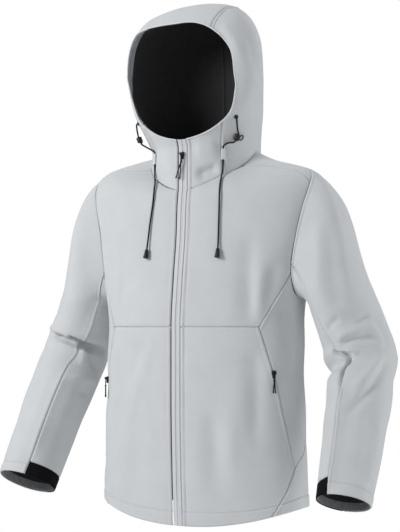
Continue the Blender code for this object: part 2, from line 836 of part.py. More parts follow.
def make_torso(seams, shared, cloth):
    heights = zip_heights(seams)
    upper_zip = [front_edge(z) for z in heights["upper"]]
    upper_zip[-1] = seams["neck_collar"][0]
    lower_zip = [front_edge(z) for z in heights["lower"]]
    front_hem = [hem(a) for a in steps(lower_zip[0].x, HEM_SEAM, 9)]
    lower_zip[0] = front_hem[0]
    for label, side in SIDES:
        torso_panel(
            f"front_upper_{label}", shared, cloth, side,
            bottom=seams["chest"],
            right=chain(seams["diagonal"], seams["arm_front"][::-1]),
            top=chain(seams["neck_collar"], seams["neck_front"], seams["yoke"]),
            left=upper_zip,
        )
        torso_panel(
            f"front_lower_{label}", shared, cloth, side,
            bottom=front_hem,
            right=chain(seams["hem_seam"][::-1], seams["pocket"][::-1]),
            top=seams["chest"],
            left=lower_zip,
        )
        torso_panel(
            f"side_{label}", shared, cloth, side,
            bottom=[seams["tip"][0].lerp(seams["tip"][1], t) for t in steps(0, 1, 4)],
            right=seams["side"][::-1],
            top=seams["arm_under"],
            left=chain(seams["pocket"][::-1], seams["diagonal"]),
        )
    make_back(seams, shared, cloth)


def make_back(seams, shared, cloth):
    """The back, up to the shoulder blades in rings, and above them over the shoulders to the neck."""
    left_up = chain(seams["hem_seam"][::-1], seams["tip"], seams["side"][::-1], seams["arm_back"])
    level = left_up[-1].y
    blade_stops = steps(left_up[-1].x, BLADE_TURN, 3) + steps(BLADE_TURN, 360 - BLADE_TURN, 18)[1:]
    blades = [Vector((a, level)) for a in blade_stops]
    blades += mirrored(blades[:3])[::-1]
    ways = {}
    lower = torso_rows(
        dict(
            bottom=[hem(a) for a in steps(HEM_SEAM, 360 - HEM_SEAM, len(blades) - 1)],
            right=mirrored(left_up), top=blades, left=left_up,
        ),
        LEFT, shared, ways,
    )
    over = seams["arm_top"]
    half_top = chain(seams["yoke"][::-1], seams["neck_side"])
    top = chain(half_top, seams["neck_nape"], mirrored(half_top)[::-1])
    edges = dict(bottom=blades, right=mirrored(over), top=top, left=over)
    upper = on_rows(on_shoulder, {name: [torso_spot(at) for at in run] for name, run in edges.items()})
    for row in upper:
        for spot in row:
            ways.setdefault(key(spot), shared.get(key(spot)) or gradient(torso_field, spot))
    sheet = bmesh.new()
    lay(sheet, lower)
    lay(sheet, upper)
    wall("back", sheet, ways, cloth)


def hood_runs(seams):
    """The hood's seams and edges, as points."""
    brow = brow_turn(BAND_HALF)
    nape = nape_turn(BAND_HALF_NAPE)
    band = []
    for t in steps(0, 1, 20):
        band.append(hood_slice(blend(BAND_HALF, BAND_HALF_NAPE, ease(t)), blend(brow, nape, t)))
    neck_names = [name for name in seams if "neck" in name]
    neck_points = {name: [torso_spot(at) for at in seams[name]] for name in neck_names}
    band[-1] = neck_points["neck_side"][-1]
    chin = [chin_spot(a) for a in steps(0, COLLAR_SEAM, 4)]
    chin[0] = collar_edge(CHIN)
    seam_low, seam_high = neck_points["neck_front"][0], chin[-1]
    seam = [on_hood(seam_low.lerp(seam_high, t)) for t in COLLAR_SEAM_ROWS]
    seam[0], seam[-1] = seam_low, seam_high
    heights = evenly(lambda at: face_spot(at.y), [Vector((0, chin[-1].z)), Vector((0, band[0].z))], 8)
    edge = [face_spot(at.y) for at in heights]
    edge[0], edge[-1] = chin[-1], band[0]
    zip_edge = [collar_edge(z) for z in zip_heights(seams)["collar"]]
    zip_edge[0] = neck_points["neck_collar"][0]
    return dict(neck_points, band=band, chin=chin, seam=seam, face=edge, zip=zip_edge)


def flipped(points):
    return [Vector((-p.x, p.y, p.z)) for p in points]


def hood_ways(rows, shared):
    return {key(p): shared.get(key(p), gradient(hood_field, p)) for row in rows for p in row}


def make_hood(runs, shared, cloth, fleece):
    collar_rows = on_rows(on_hood, dict(
        bottom=runs["neck_collar"], right=runs["seam"], top=runs["chin"], left=runs["zip"],
    ))
    side_rows = on_rows(on_hood, dict(
        bottom=chain(runs["neck_front"], runs["neck_side"]),
        right=runs["band"][:7:-1],
        top=runs["band"][:9],
        left=chain(runs["seam"], runs["face"]),
    ))
    brow = [hood_slice(x, brow_turn(abs(x))) for x in steps(-BAND_HALF, BAND_HALF, 6)]
    brow[0], brow[-1] = flipped(runs["band"])[0], runs["band"][0]
    centre_rows = on_rows(on_hood, dict(
        bottom=brow, right=runs["band"], top=runs["neck_nape"][::-1], left=flipped(runs["band"]),
    ))
    half_rows = [row[3:] for row in centre_rows]

    def lining_inset(edge):
        middle = (edge.verts[0].co + edge.verts[1].co) / 2
        return SEAM_GAP / 2 if abs(middle.x) < 1e-4 else LINING_SETBACK

    for label, side in SIDES:
        for name, rows in (("collar", collar_rows), ("hood_side", side_rows)):
            sheet = bmesh.new()
            lay(sheet, rows)
            wall(f"{name}_{label}", sheet, hood_ways(rows, shared), cloth, side)
        lining = bmesh.new()
        lay(lining, side_rows)
        lay(lining, half_rows)
        ways = hood_ways(side_rows + half_rows, {})
        wall(
            f"hood_lining_{label}", lining, ways, fleece, side, LINING_WALL,
            WALL + LINING_GAP, lining_inset,
        )
    centre = bmesh.new()
    lay(centre, centre_rows)
    wall("hood_centre", centre, hood_ways(centre_rows, shared), cloth)


def sleeve_inset(edge):
    return SEAM_GAP / 2 + 0.00005


def sleeve_panel(name, side, angles, places, shared, finish, **shape):
    rows = []
    ways = {}
    for along in places:
        spots = []
        for angle in angles:
            way = sleeve_way(side, angle, along)
            spot = sleeve(side, angle, along)
            depth = pressed(SLEEVE_FOLDS, angle, along)
            if depth:
                spot = spot - way * depth
            ways[key(spot)] = shared.get(key(spot), way)
            spots.append(spot)
        rows.append(spots)
    sheet = bmesh.new()
    lay(sheet, rows)
    return wall(name, sheet, ways, finish, side, inset=sleeve_inset, **shape)


def make_sleeves(shared, cloth, fleece):
    outer = [a for a in ARMHOLE_STOPS if a > SLEEVE_BACK_SEAM - 0.01]
    outer += [a + 360 for a in ARMHOLE_STOPS if YOKE_AT_ARMHOLE < a < SLEEVE_FRONT_SEAM + 0.01]
    under = [a for a in ARMHOLE_STOPS if SLEEVE_FRONT_SEAM - 0.01 < a < SLEEVE_BACK_SEAM + 0.01]
    for label, side in SIDES:
        band = cuff_along(side, CUFF_BAND)
        lined = cuff_along(side, CUFF_LINING)
        upper = steps(0, CAP_SHARE, 5) + steps(CAP_SHARE, 0.42, 3)[1:] + steps(0.42, 0.68, 9)[1:]
        upper += steps(0.68, lined, 3)[1:] + [band]
        sleeve_panel(f"sleeve_outer_{label}", side, outer, upper + [1.0], shared, cloth)
        sleeve_panel(f"sleeve_under_{label}", side, under, upper, shared, cloth)
        sleeve_panel(f"cuff_band_{label}", side, under, [band, 1.0], {}, fleece)
        edge = cuff_along(side, LINING_SETBACK)
        sleeve_panel(
            f"cuff_lining_{label}", side, under + outer[1:], [lined, band, edge], {}, fleece,
            thickness=LINING_WALL, depth=WALL + LINING_GAP,
        )


def zip_line(z):
    """The front middle line's point and way out at a height."""
    section = section_at(TORSO if z < neck(0).y else HOOD, z)
    return Vector((0, section.middle_y - section.front, z))


def make_zip(seams, tape):
    heights = chain(*zip_heights(seams).values())
    rows = []
    ways = {}
    for z in heights:
        low, high = zip_line(max(z - 0.01, HEM_FRONT)), zip_line(min(z + 0.01, CHIN))
        way = Vector((1, 0, 0)).cross(high - low).normalized()
        spots = [zip_line(z) + Vector((x, 0, 0)) for x in steps(0, ZIP_HALF, 2)]
        ways.update((key(p), way) for p in spots)
        rows.append(spots)
    for label, side in SIDES:
        sheet = bmesh.new()
        lay(sheet, rows)
        wall(f"zip_tape_{label}", sheet, ways, tape, side, TAPE_WALL, ZIP_RECESS)


# Small hard pieces and cords

def local_frame(spot, way):
    """Axes on a surface: x level along it, -y out of it and z up it."""
    across = (-way).cross(Vector((0, 0, 1))).normalized()
    frame = Matrix((across, -way, across.cross(-way))).transposed().to_4x4()
    frame.translation = spot
    return frame


def box(size, middle):
    sheet = bmesh.new()
    bmesh.ops.create_cube(sheet, size=1, matrix=Matrix.Translation(middle) @ Matrix.Diagonal((*size, 1)))
    return sheet


def rod(radius, length, place, end_radius=None, sides=12):
    """A rod, or a cone, along its place's z axis, from its origin downwards."""
    sheet = bmesh.new()
    low = radius if end_radius is None else end_radius
    down = place @ Matrix.Translation((0, 0, -length / 2))
    bmesh.ops.create_cone(
        sheet, cap_ends=True, segments=sides, radius1=low, radius2=radius, depth=length, matrix=down,
    )
    return sheet


def ring(radius, wire, place):
    """A ring round its place's z axis."""
    bpy.ops.mesh.primitive_torus_add(
        major_radius=radius, minor_radius=wire, major_segments=16, minor_segments=8,
    )
    made = bpy.context.object
    sheet = bmesh.new()
    sheet.from_mesh(made.data)
    bpy.data.objects.remove(made)
    bmesh.ops.transform(sheet, matrix=place, verts=sheet.verts)
    return sheet


def fused(name, sheets, frame, finish):
    """One solid from pieces that overlap, placed by a frame."""
    made = add_object(name, sheets[0], finish)
    made.matrix_world = frame
    for number, sheet in enumerate(sheets[1:]):
        helper = add_object(f"{name}_join_{number}", sheet, finish, JOINED)
        helper.matrix_world = frame
        helper.hide_render = True
        helper.display_type = "WIRE"
        union = made.modifiers.new(helper.name, "BOOLEAN")
        union.operation = "UNION"
        union.object = helper
    return made


def make_slider(label, spot, way, finish, strand_length, leans):
    """A zip slider on the cloth, and its pull, which swings on a pin between two lugs."""
    frame = local_frame(spot + way * SEAM_GAP, way)
    lugs = [box(LUG, (x, LUG_Y, LUG_Z)) for x in (-LUG_X, LUG_X)]
    fused(f"{label}_slider", [box(SLIDER, (0, -SLIDER[1] / 2, 0))] + lugs, frame, finish)
    level = Vector((way.x, way.y, 0)).normalized()
    hinge = local_frame(frame @ Vector((0, PIN_Y, LUG_Z)), level)
    lying = Matrix.Translation((PIN_LENGTH / 2, 0, 0)) @ Matrix.Rotation(math.pi / 2, 4, "Y")
    pin = rod(PIN_RADIUS, PIN_LENGTH, lying)
    tab = box((TAB_WIDTH, TAB_THICK, TAB_LENGTH), (0, 0, -TAB_LENGTH / 2))
    strands = []
    tied = Matrix.Translation((0, 0, STRAND_TIE - TAB_LENGTH))
    for lean in leans:
        turn = Matrix.Rotation(math.radians(lean), 4, "Y")
        strands.append(rod(STRAND_RADIUS, strand_length, tied @ turn, sides=8))
    fused(f"{label}_pull", [tab, pin] + strands, hinge, finish)


def make_sliders(seams, trim):
    low, high = [zip_line(ZIP_SLIDER_AT + rise) for rise in (-SLIDER[2] / 2, SLIDER[2] / 2)]
    out = Vector((1, 0, 0)).cross(high - low).normalized()
    make_slider("zip", (low + high) / 2 - out * ZIP_RECESS, out, trim, 0.034, (20, 6))
    for (label, side), height in zip(SIDES, POCKET_SLIDERS_AT):
        above = [at for at in seams["pocket"] if at.y > height][-1]
        below = [at for at in seams["pocket"] if at.y <= height][0]
        spot = torso_spot(above.lerp(below, (above.y - height) / (above.y - below.y)))
        placed = [spot, gradient(torso_field, spot)]
        spot, way = placed if side == LEFT else flipped(placed)
        make_slider(f"pocket_{label}", spot, way, trim, 0.024, (5, -5))


def tube(name, route, finish):
    """A cord along a smooth curve through its route."""
    length = sum((b - a).length for a, b in zip(route, route[1:]))
    count = max(4, round(length / (2.6 * 2 * CORD_RADIUS)))
    curve = bpy.data.curves.new(name, "CURVE")
    curve.dimensions = "3D"
    curve.bevel_depth = CORD_RADIUS
    curve.bevel_resolution = 2
    curve.use_fill_caps = True
    spline = curve.splines.new("POLY")
    spline.points.add(count)
    for i, point in enumerate(spline.points):
        point.co = (*spline_point(route, i / count), 1.0)
    curve.materials.append(finish)
    bpy.data.collections[COLLECTION].objects.link(bpy.data.objects.new(name, curve))


def along_frame(start, end):
    """A frame at start whose -z axis points to end."""
    frame = (start - end).to_track_quat("Z", "Y").to_matrix().to_4x4()
    frame.translation = start
    return frame


def make_cords(cloth, trim):
    for label, side in SIDES:
        def on_side(points):
            return [posed(Vector((side * x, y, z))) for x, y, z in points]

        upper = on_side(CORD_UPPER if side == LEFT else CORD_UPPER_RIGHT)
        middle = on_side(CORD_MIDDLE if side == LEFT else CORD_MIDDLE_RIGHT)
        hanging = on_side(CORD_HANGING if side == LEFT else CORD_HANGING_RIGHT)
        tube(f"cord_upper_{label}", upper, trim)
        tube(f"cord_middle_{label}", middle, trim)
        tube(f"cord_hanging_{label}", hanging, trim)
        lock = along_frame(upper[-1], middle[0])
        long = (middle[0] - upper[-1]).length - 2 * LOCK_GAP
        aside = side * (LOCK_RADIUS + LOCK_RING - LOCK_RING_WIRE / 2)
        loop = Matrix.Translation((aside, -0.0016, -long / 2)) @ Matrix.Rotation(math.pi / 2, 4, "X")
        barrel = rod(LOCK_RADIUS, long, Matrix.Translation((0, 0, -LOCK_GAP)), sides=16)
        fused(f"cord_lock_{label}", [barrel, ring(LOCK_RING, LOCK_RING_WIRE, loop)], lock, trim)
        eye = on_side([EYELET])[0]
        out = gradient(hood_field, eye)
        turned = along_frame(eye + out * (EYELET_WIRE + SEAM_GAP), eye - out)
        fused(f"eyelet_{label}", [ring(EYELET_RADIUS, EYELET_WIRE, Matrix())], turned, trim)
        (tab_spot,) = on_side([CORD_TAB])
        tab_frame = local_frame(tab_spot, gradient(hood_field, tab_spot))
        tab = box(CORD_TAB_SIZE, (0, -SEAM_GAP - CORD_TAB_SIZE[1] / 2, 0))
        fused(f"cord_tab_{label}", [tab], tab_frame, cloth)
        foot = hanging[-1] + (hanging[-1] - hanging[-2]).normalized() * SEAM_GAP
        end = foot + Vector((side * 0.0004, -0.0040, -CORD_END))
        neck_radius, mouth_radius = CORD_END_RADII
        bell = rod(neck_radius, CORD_END, Matrix(), mouth_radius, 16)
        fused(f"cord_end_{label}", [bell], along_frame(foot, end), trim)


def finish_of(name, colour, roughness, metallic=0.0):
    made = bpy.data.materials.new(name)
    made.use_nodes = True
    shader = made.node_tree.nodes["Principled BSDF"]
    shader.inputs["Base Color"].default_value = (*colour, 1.0)
    shader.inputs["Roughness"].default_value = roughness
    shader.inputs["Metallic"].default_value = metallic
    return made


def main():
    for old in list(bpy.data.objects):
        bpy.data.objects.remove(old)
    for name in (COLLECTION, JOINED):
        bpy.context.scene.collection.children.link(bpy.data.collections.new(name))
    cloth = finish_of("shell_cloth", (0.52, 0.53, 0.54), 0.85)
    fleece = finish_of("black_fleece", (0.012, 0.012, 0.014), 0.95)
    trim = finish_of("black_trim", (0.010, 0.010, 0.011), 0.45)
    seams = torso_seams()
    shared = shared_ways(seams)
    make_torso(seams, shared, cloth)
    make_hood(hood_runs(seams), shared, cloth, fleece)
    make_sleeves(shared, cloth, fleece)
    make_zip(seams, cloth)
    make_sliders(seams, trim)
    make_cords(cloth, trim)


if __name__ == "__main__":
    main()
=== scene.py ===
"""Looks of a hooded softshell jacket in its worn form, on the frame of its solids.

Metres, +Z up. The jacket faces -Y and the wearer's left is +X. Every panel is a thin shell on
the same form as its solid: rings round the body, the hood and the arms. Seams, creases and
stitching are set in the panel's own sizes: an angle round the form and a place along it.
"""

import math
from collections import namedtuple

import bmesh
import bpy
import numpy as np
from mathutils import Matrix, Vector
from mathutils.bvhtree import BVHTree
from bpy.props import FloatProperty, FloatVectorProperty, PointerProperty


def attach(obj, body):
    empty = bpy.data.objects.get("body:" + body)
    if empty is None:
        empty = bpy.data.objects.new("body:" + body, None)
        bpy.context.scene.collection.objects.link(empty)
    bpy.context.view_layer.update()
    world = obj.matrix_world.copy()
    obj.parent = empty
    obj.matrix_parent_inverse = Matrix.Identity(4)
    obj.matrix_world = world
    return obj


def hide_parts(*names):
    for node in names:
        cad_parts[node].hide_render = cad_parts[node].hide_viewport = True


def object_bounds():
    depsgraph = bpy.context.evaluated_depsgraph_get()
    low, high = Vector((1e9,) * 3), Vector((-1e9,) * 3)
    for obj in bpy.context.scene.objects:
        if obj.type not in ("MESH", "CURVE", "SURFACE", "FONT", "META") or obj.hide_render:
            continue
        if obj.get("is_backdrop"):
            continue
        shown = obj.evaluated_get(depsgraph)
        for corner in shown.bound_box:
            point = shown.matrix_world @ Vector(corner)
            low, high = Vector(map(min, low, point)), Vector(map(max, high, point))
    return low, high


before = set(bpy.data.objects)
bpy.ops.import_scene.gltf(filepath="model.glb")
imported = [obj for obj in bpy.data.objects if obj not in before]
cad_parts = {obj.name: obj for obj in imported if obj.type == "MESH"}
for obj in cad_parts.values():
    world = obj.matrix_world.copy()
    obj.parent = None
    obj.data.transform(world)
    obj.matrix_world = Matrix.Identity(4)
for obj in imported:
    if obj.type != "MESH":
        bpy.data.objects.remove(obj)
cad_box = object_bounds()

bl_info = {
    "name": "Hooded softshell jacket",
    "version": (1, 0, 0),
    "blender": (4, 5, 0),
    "location": "3D View > Sidebar > Jacket",
    "description": "Dresses the jacket's solids with sewn cloth, a zip, cords and stitching",
    "category": "Object",
}

LEFT = 1
RIGHT = -1
SIDES = (("left", LEFT), ("right", RIGHT))

# Forms, as in the solids apart from the hem's seam and the side panels' tips
ZIP_HALF = 0.0105
ZIP_RECESS = 0.0009
NECK_HALF_WIDTH = 0.108
NECK_FRONT = 0.087
NECK_BACK = 0.088
HEM_FRONT = -0.686
HEM_SIDE_RISE = 0.036
HEM_BACK_RISE = 0.006
CHEST_SEAM = -0.320
CHEST_CORNER = 49.5
POCKET_LOW = (78.0, -0.578)
POCKET_BOW = (2.0, 0.0)
SIDE_TIP = 1.6
TIP_SLANT = 0.006
BACK_SEAM = 104.0
BACK_SEAM_HEIGHTS = (-0.330, -0.420)
BACK_SEAM_TURN = -0.500
BACK_SEAM_RUN_OUT = (-9, -0.046)
HEM_SEAM = 54.0
HEM_SEAM_BOW = (0.8, -0.001)
ARMHOLE_MIDDLE = -0.150
ARMHOLE_HALF_HEIGHT = 0.114
ARMHOLE_FRONT = 22.0
ARMHOLE_BACK = 24.0
ARMHOLE_FULLNESS = 0.85
YOKE_AT_ARMHOLE = 40.0
YOKE_AT_NECK = 66.0
SIDE_AT_ARMHOLE = 127.0
BACK_AT_ARMHOLE = 212.0
SHOULDER_AT_ARMHOLE = 306.25
BLADE_TURN = 138.0
CHEST_MIDDLE = np.array((0.0, 0.015, -0.170))
HOOD_MIDDLE = np.array((0.0, -0.010, 0.135))
HOOD_TOP = 0.303
HOOD_LEAN = 3.4
HOOD_POLE_Y = 0.035
HOOD_ROUND = 2.7
CHIN = 0.026
BAND_HALF_NAPE = 0.044
COLLAR_SEAM = 44.0
SLEEVE_BACK_SEAM = 250.0
CUFF_BAND = 0.027
CUFF_LINING = 0.050
CUFF_MEASURED_AT = 190.0
CAP_SHARE = 0.30
CAP_FULLNESS = 1.05
ARM_REACH = 0.12
RIGHT_SHOULDER_LIFT = 0.016
LIFT_FROM = (0.06, -0.25)
LIFT_OVER = (0.14, 0.16)
NAPE_PLAN = 180 - math.degrees(math.asin(BAND_HALF_NAPE / NECK_HALF_WIDTH))
ZIP_PLAN = math.degrees(math.asin(ZIP_HALF / NECK_HALF_WIDTH))
# How the sleeve's cloth leaves the armhole: out, forward, down, and further down underneath
CAP_LEAVES = (0.90, -0.12, -0.50, -0.22)

# Where a place on a form is looked for: heights, directions, reaches and shares of a sleeve
SHOULDER_HEIGHTS = (-0.12, 0.04)
CHIN_HEIGHTS = (CHIN, 0.10)
BROW_TURNS = (15.0, 110.0)
NAPE_TURNS = (150.0, 245.0)
FORM_REACH = 0.35
HOOD_REACH = 0.30
CUFF_SHARES = (0.7, 1.0)

# Height, half width, middle in y, reach to the front, reach to the back, squareness
TORSO = (
    (-0.720, 0.2140, -0.010, 0.0910, 0.1210, 2.20),
    (-0.600, 0.2100, -0.012, 0.0970, 0.1220, 2.20),
    (-0.450, 0.2035, -0.014, 0.0990, 0.1240, 2.20),
    (-0.320, 0.2010, -0.014, 0.0990, 0.1290, 2.20),
    (-0.230, 0.2110, -0.012, 0.0930, 0.1360, 2.25),
    (-0.150, 0.2270, -0.008, 0.0870, 0.1400, 2.30),
    (-0.100, 0.2370, -0.006, 0.0860, 0.1380, 2.30),
    (-0.070, 0.2410, -0.005, 0.0830, 0.1310, 2.30),
    (-0.050, 0.2370, -0.004, 0.0720, 0.1220, 2.25),
    (-0.035, 0.2220, -0.003, 0.0560, 0.1140, 2.20),
    (-0.022, 0.1890, -0.002, 0.0390, 0.1060, 2.20),
    (-0.008, 0.1440, -0.001, 0.0250, 0.0960, 2.10),
    (0.008, 0.1080, 0.000, 0.0150, 0.0880, 2.00),
    (0.040, 0.0800, 0.000, 0.0100, 0.0760, 2.00),
)
HOOD = (
    (-0.090, NECK_HALF_WIDTH, 0.000, NECK_FRONT, NECK_BACK, 2.00),
    (0.010, NECK_HALF_WIDTH, 0.000, NECK_FRONT, NECK_BACK, 2.00),
    (0.026, 0.1115, -0.009, 0.0838, 0.0980, 2.00),
    (0.040, 0.1160, -0.017, 0.0855, 0.1030, 2.00),
    (0.062, 0.1225, -0.029, 0.0870, 0.1100, 2.00),
    (0.110, 0.1335, -0.048, 0.0600, 0.1240, 2.00),
    (0.145, 0.1385, -0.058, 0.0430, 0.1330, 2.00),
)
HOOD_EQUATOR = HOOD[-1][0]

# Height, and how far forward the hood's edge lies there on the wearer's left and right
FACE = (
    (0.026, -0.0928, -0.0928),
    (0.050, -0.0880, -0.0910),
    (0.080, -0.0835, -0.0825),
    (0.110, -0.0825, -0.0718),
    (0.145, -0.0850, -0.0700),
    (0.180, -0.0860, -0.0695),
    (0.205, -0.0880, -0.0685),
    (0.225, -0.0890, -0.0675),
    (0.232, -0.0889, -0.0682),
    (0.238, -0.0887, -0.0738),
    (0.243, -0.0885, -0.0783),
    (0.300, -0.0885, -0.0783),
)
# The middle band's half width at the brow, how far it swells above it, and how much further
# forward the brow lies in the middle than at the band's seam
BAND_HALVES = {LEFT: 0.0612, RIGHT: 0.0820}
BAND_SWELL = {LEFT: 0.0155, RIGHT: 0.0}
BAND_SWELL_AT = 0.12
BAND_SWELL_FADE = 0.6
BAND_FRONT_SHARE = 0.4
BROW_DROP = {LEFT: 0.0, RIGHT: 0.0103}

# How far round the sleeve's front seam lies, by the share along the sleeve
FRONT_SEAMS = {
    LEFT: (
        (0.00, 116.0), (0.16, 121.0), (0.31, 123.0), (0.39, 117.5), (0.47, 110.0),
        (0.53, 105.0), (0.56, 94.0), (0.58, 88.0), (0.60, 92.0), (0.64, 101.0),
        (0.80, 101.5), (1.00, 106.0),
    ),
    RIGHT: (
        (0.00, 122.0), (0.12, 136.0), (0.22, 142.0), (0.35, 138.0), (0.46, 132.0),
        (0.53, 127.0), (0.61, 131.0), (0.67, 123.5), (0.80, 121.0), (1.00, 118.0),
    ),
}

# Middle of the arm in x, y and z, and half its width outwards and forwards
ARMS = {
    LEFT: (
        (0.2730, 0.008, -0.2580, 0.0560, 0.0690),
        (0.2930, 0.018, -0.3160, 0.0610, 0.0670),
        (0.3090, 0.022, -0.3700, 0.0640, 0.0640),
        (0.3200, -0.002, -0.4260, 0.0590, 0.0610),
        (0.3270, -0.046, -0.5040, 0.0545, 0.0560),
        (0.3330, -0.092, -0.5860, 0.0500, 0.0480),
        (0.3340, -0.110, -0.6210, 0.0485, 0.0450),
    ),
    RIGHT: (
        (0.2690, 0.010, -0.2520, 0.0560, 0.0690),
        (0.2940, 0.022, -0.3080, 0.0610, 0.0670),
        (0.3160, 0.026, -0.3560, 0.0640, 0.0650),
        (0.3250, 0.004, -0.4100, 0.0665, 0.0640),
        (0.3350, -0.042, -0.4960, 0.0640, 0.0610),
        (0.3430, -0.084, -0.5840, 0.0600, 0.0570),
        (0.3460, -0.106, -0.6250, 0.0590, 0.0550),
    ),
}

# Large folds, as in the solids: a place, half sizes and the depth that is pressed in
Fold = namedtuple("Fold", "angle half_angle along half_along depth")
BOTH_SLEEVES_FOLDS = (
    Fold(20.0, 50.0, 0.610, 0.075, 0.0040),
    Fold(290.0, 60.0, 0.480, 0.060, 0.0040),
    Fold(70.0, 45.0, 0.780, 0.070, 0.0030),
)
SLEEVE_FOLDS = {
    LEFT: (
        Fold(125.0, 80.0, 0.605, 0.046, 0.0090),
        Fold(120.0, 90.0, 0.530, 0.060, -0.0050),
        Fold(112.0, 70.0, 0.675, 0.046, -0.0040),
        Fold(50.0, 55.0, 0.400, 0.060, 0.0035),
        *BOTH_SLEEVES_FOLDS,
    ),
    RIGHT: (
        Fold(110.0, 95.0, 0.505, 0.042, 0.0085),
        Fold(120.0, 90.0, 0.445, 0.046, -0.0030),
        Fold(105.0, 90.0, 0.570, 0.050, -0.0055),
        Fold(140.0, 60.0, 0.640, 0.046, 0.0045),
        Fold(50.0, 55.0, 0.400, 0.060, 0.0012),
        *BOTH_SLEEVES_FOLDS,
    ),
}
TORSO_FOLDS = (
    Fold(20.0, 11.0, -0.540, 0.120, 0.0040),
    Fold(38.0, 10.0, -0.470, 0.110, -0.0030),
    Fold(-24.0, 12.0, -0.560, 0.100, 0.0040),
    Fold(-40.0, 12.0, -0.450, 0.110, 0.0030),
    Fold(88.0, 20.0, -0.420, 0.110, 0.0045),
    Fold(-92.0, 20.0, -0.440, 0.110, 0.0045),
    Fold(150.0, 22.0, -0.400, 0.140, 0.0050),
    Fold(-155.0, 22.0, -0.430, 0.140, 0.0050),
    Fold(178.0, 18.0, -0.560, 0.090, 0.0040),
)


# Numbers and curves, for many places at once

def ease(t):
    t = np.clip(t, 0.0, 1.0)
    return t * t * (3 - 2 * t)


def power(value, exponent):
    return np.copysign(np.abs(value) ** exponent, value)


def solve(function, low, high, shape=()):
    """Where a rising function passes zero."""
    low = np.full(shape, float(low))
    high = np.full(shape, float(high))
    for _ in range(40):
        middle = (low + high) / 2
        under = function(middle) < 0
        low = np.where(under, middle, low)
        high = np.where(under, high, middle)
    return (low + high) / 2


def pairs(first, second):
    return np.stack(np.broadcast_arrays(np.asarray(first, float), np.asarray(second, float)), -1)


def triples(x, y, z):
    return np.stack(np.broadcast_arrays(*(np.asarray(c, float) for c in (x, y, z))), -1)


def unit(ways):
    return ways / np.maximum(np.linalg.norm(ways, axis=-1, keepdims=True), 1e-12)


class Profile:
    """A smooth curve through rows, which never overshoots them."""

    def __init__(self, at, value):
        self.at = np.array(at, float)
        self.value = np.array(value, float)
        rise = np.diff(self.value) / np.diff(self.at)
        before, after = rise[:-1], rise[1:]
        bends = before * after > 0
        inner = np.where(bends, 2 * before * after / np.where(bends, before + after, 1.0), 0.0)
        self.slope = np.concatenate((rise[:1], inner, rise[-1:]))

    def __call__(self, at):
        at = np.clip(at, self.at[0], self.at[-1])
        i = np.clip(np.searchsorted(self.at, at, side="right") - 1, 0, len(self.at) - 2)
        width = self.at[i + 1] - self.at[i]
        t = (at - self.at[i]) / width
        return (
            (2 * t**3 - 3 * t**2 + 1) * self.value[i]
            + (t**3 - 2 * t**2 + t) * self.slope[i] * width
            + (3 * t**2 - 2 * t**3) * self.value[i + 1]
            + (t**3 - t**2) * self.slope[i + 1] * width
        )


class Rings:
    """A form given by its ring at several heights. An angle goes round a ring from the front."""

    def __init__(self, table):
        columns = list(zip(*table))
        self.columns = [Profile(columns[0], column) for column in columns[1:]]

    def sizes(self, height):
        return [column(height) for column in self.columns]

    def point(self, angle, height):
        half, middle, front, back, square = self.sizes(height)
        turn = np.radians(angle)
        depth = np.where(np.cos(turn) > 0, front, back)
        x = half * power(np.sin(turn), 2 / square)
        return triples(x, middle - depth * power(np.cos(turn), 2 / square), height)

    def field(self, points):
        """Below zero inside the form."""
        return outside(self.sizes(points[..., 2]), points[..., 0], points[..., 1])


def outside(sizes, x, y):
    half, middle, front, back, square = sizes
    depth = np.where(y < middle, front, back)
    return np.abs(x / half) ** square + np.abs((y - middle) / depth) ** square - 1


def on_form(field, middle, points):
    """The form's points on the rays from its middle through some points."""
    ways = unit(points - middle)
    shape = points.shape[:-1]
    reach = solve(lambda r: field(middle + ways * r[..., None]), 0.0, FORM_REACH, shape)
    return middle + ways * reach[..., None]


# The body

torso_rings = Rings(TORSO)
hood_rings = Rings(HOOD)


def torso(places):
    return torso_rings.point(places[..., 0], places[..., 1])


def torso_from_above(x, y):
    """The places where the shoulder's surface lies over plan points."""
    x, y = np.asarray(x, float), np.asarray(y, float)
    height = solve(lambda z: outside(torso_rings.sizes(z), x, y), *SHOULDER_HEIGHTS, x.shape)
    half, middle, front, back, square = torso_rings.sizes(height)
    depth = np.where(y < middle, front, back)
    across = power(x / half, square / 2)
    along = power((middle - y) / depth, square / 2)
    return pairs(np.degrees(np.arctan2(across, along)) % 360, height)


def front_edge(height):
    half, _, _, _, square = torso_rings.sizes(height)
    return pairs(np.degrees(np.arcsin((ZIP_HALF / half) ** (square / 2))), height)


def hem(angle):
    turn = np.radians(angle)
    back = np.where(np.cos(turn) < 0, HEM_BACK_RISE, 0.0)
    return pairs(angle, HEM_FRONT + HEM_SIDE_RISE * np.sin(turn) ** 2 + back * np.cos(turn) ** 2)


def neck(angle):
    turn = np.radians(angle)
    depth = np.where(np.cos(turn) > 0, NECK_FRONT, NECK_BACK)
    return torso_from_above(NECK_HALF_WIDTH * np.sin(turn), -depth * np.cos(turn))


def armhole(angle):
    turn = np.radians(angle)
    half = np.where(np.sin(turn) > 0, ARMHOLE_FRONT, ARMHOLE_BACK)
    height = ARMHOLE_MIDDLE + ARMHOLE_HALF_HEIGHT * power(np.cos(turn), ARMHOLE_FULLNESS)
    return pairs(90 - half * power(np.sin(turn), ARMHOLE_FULLNESS), height)


# The hood

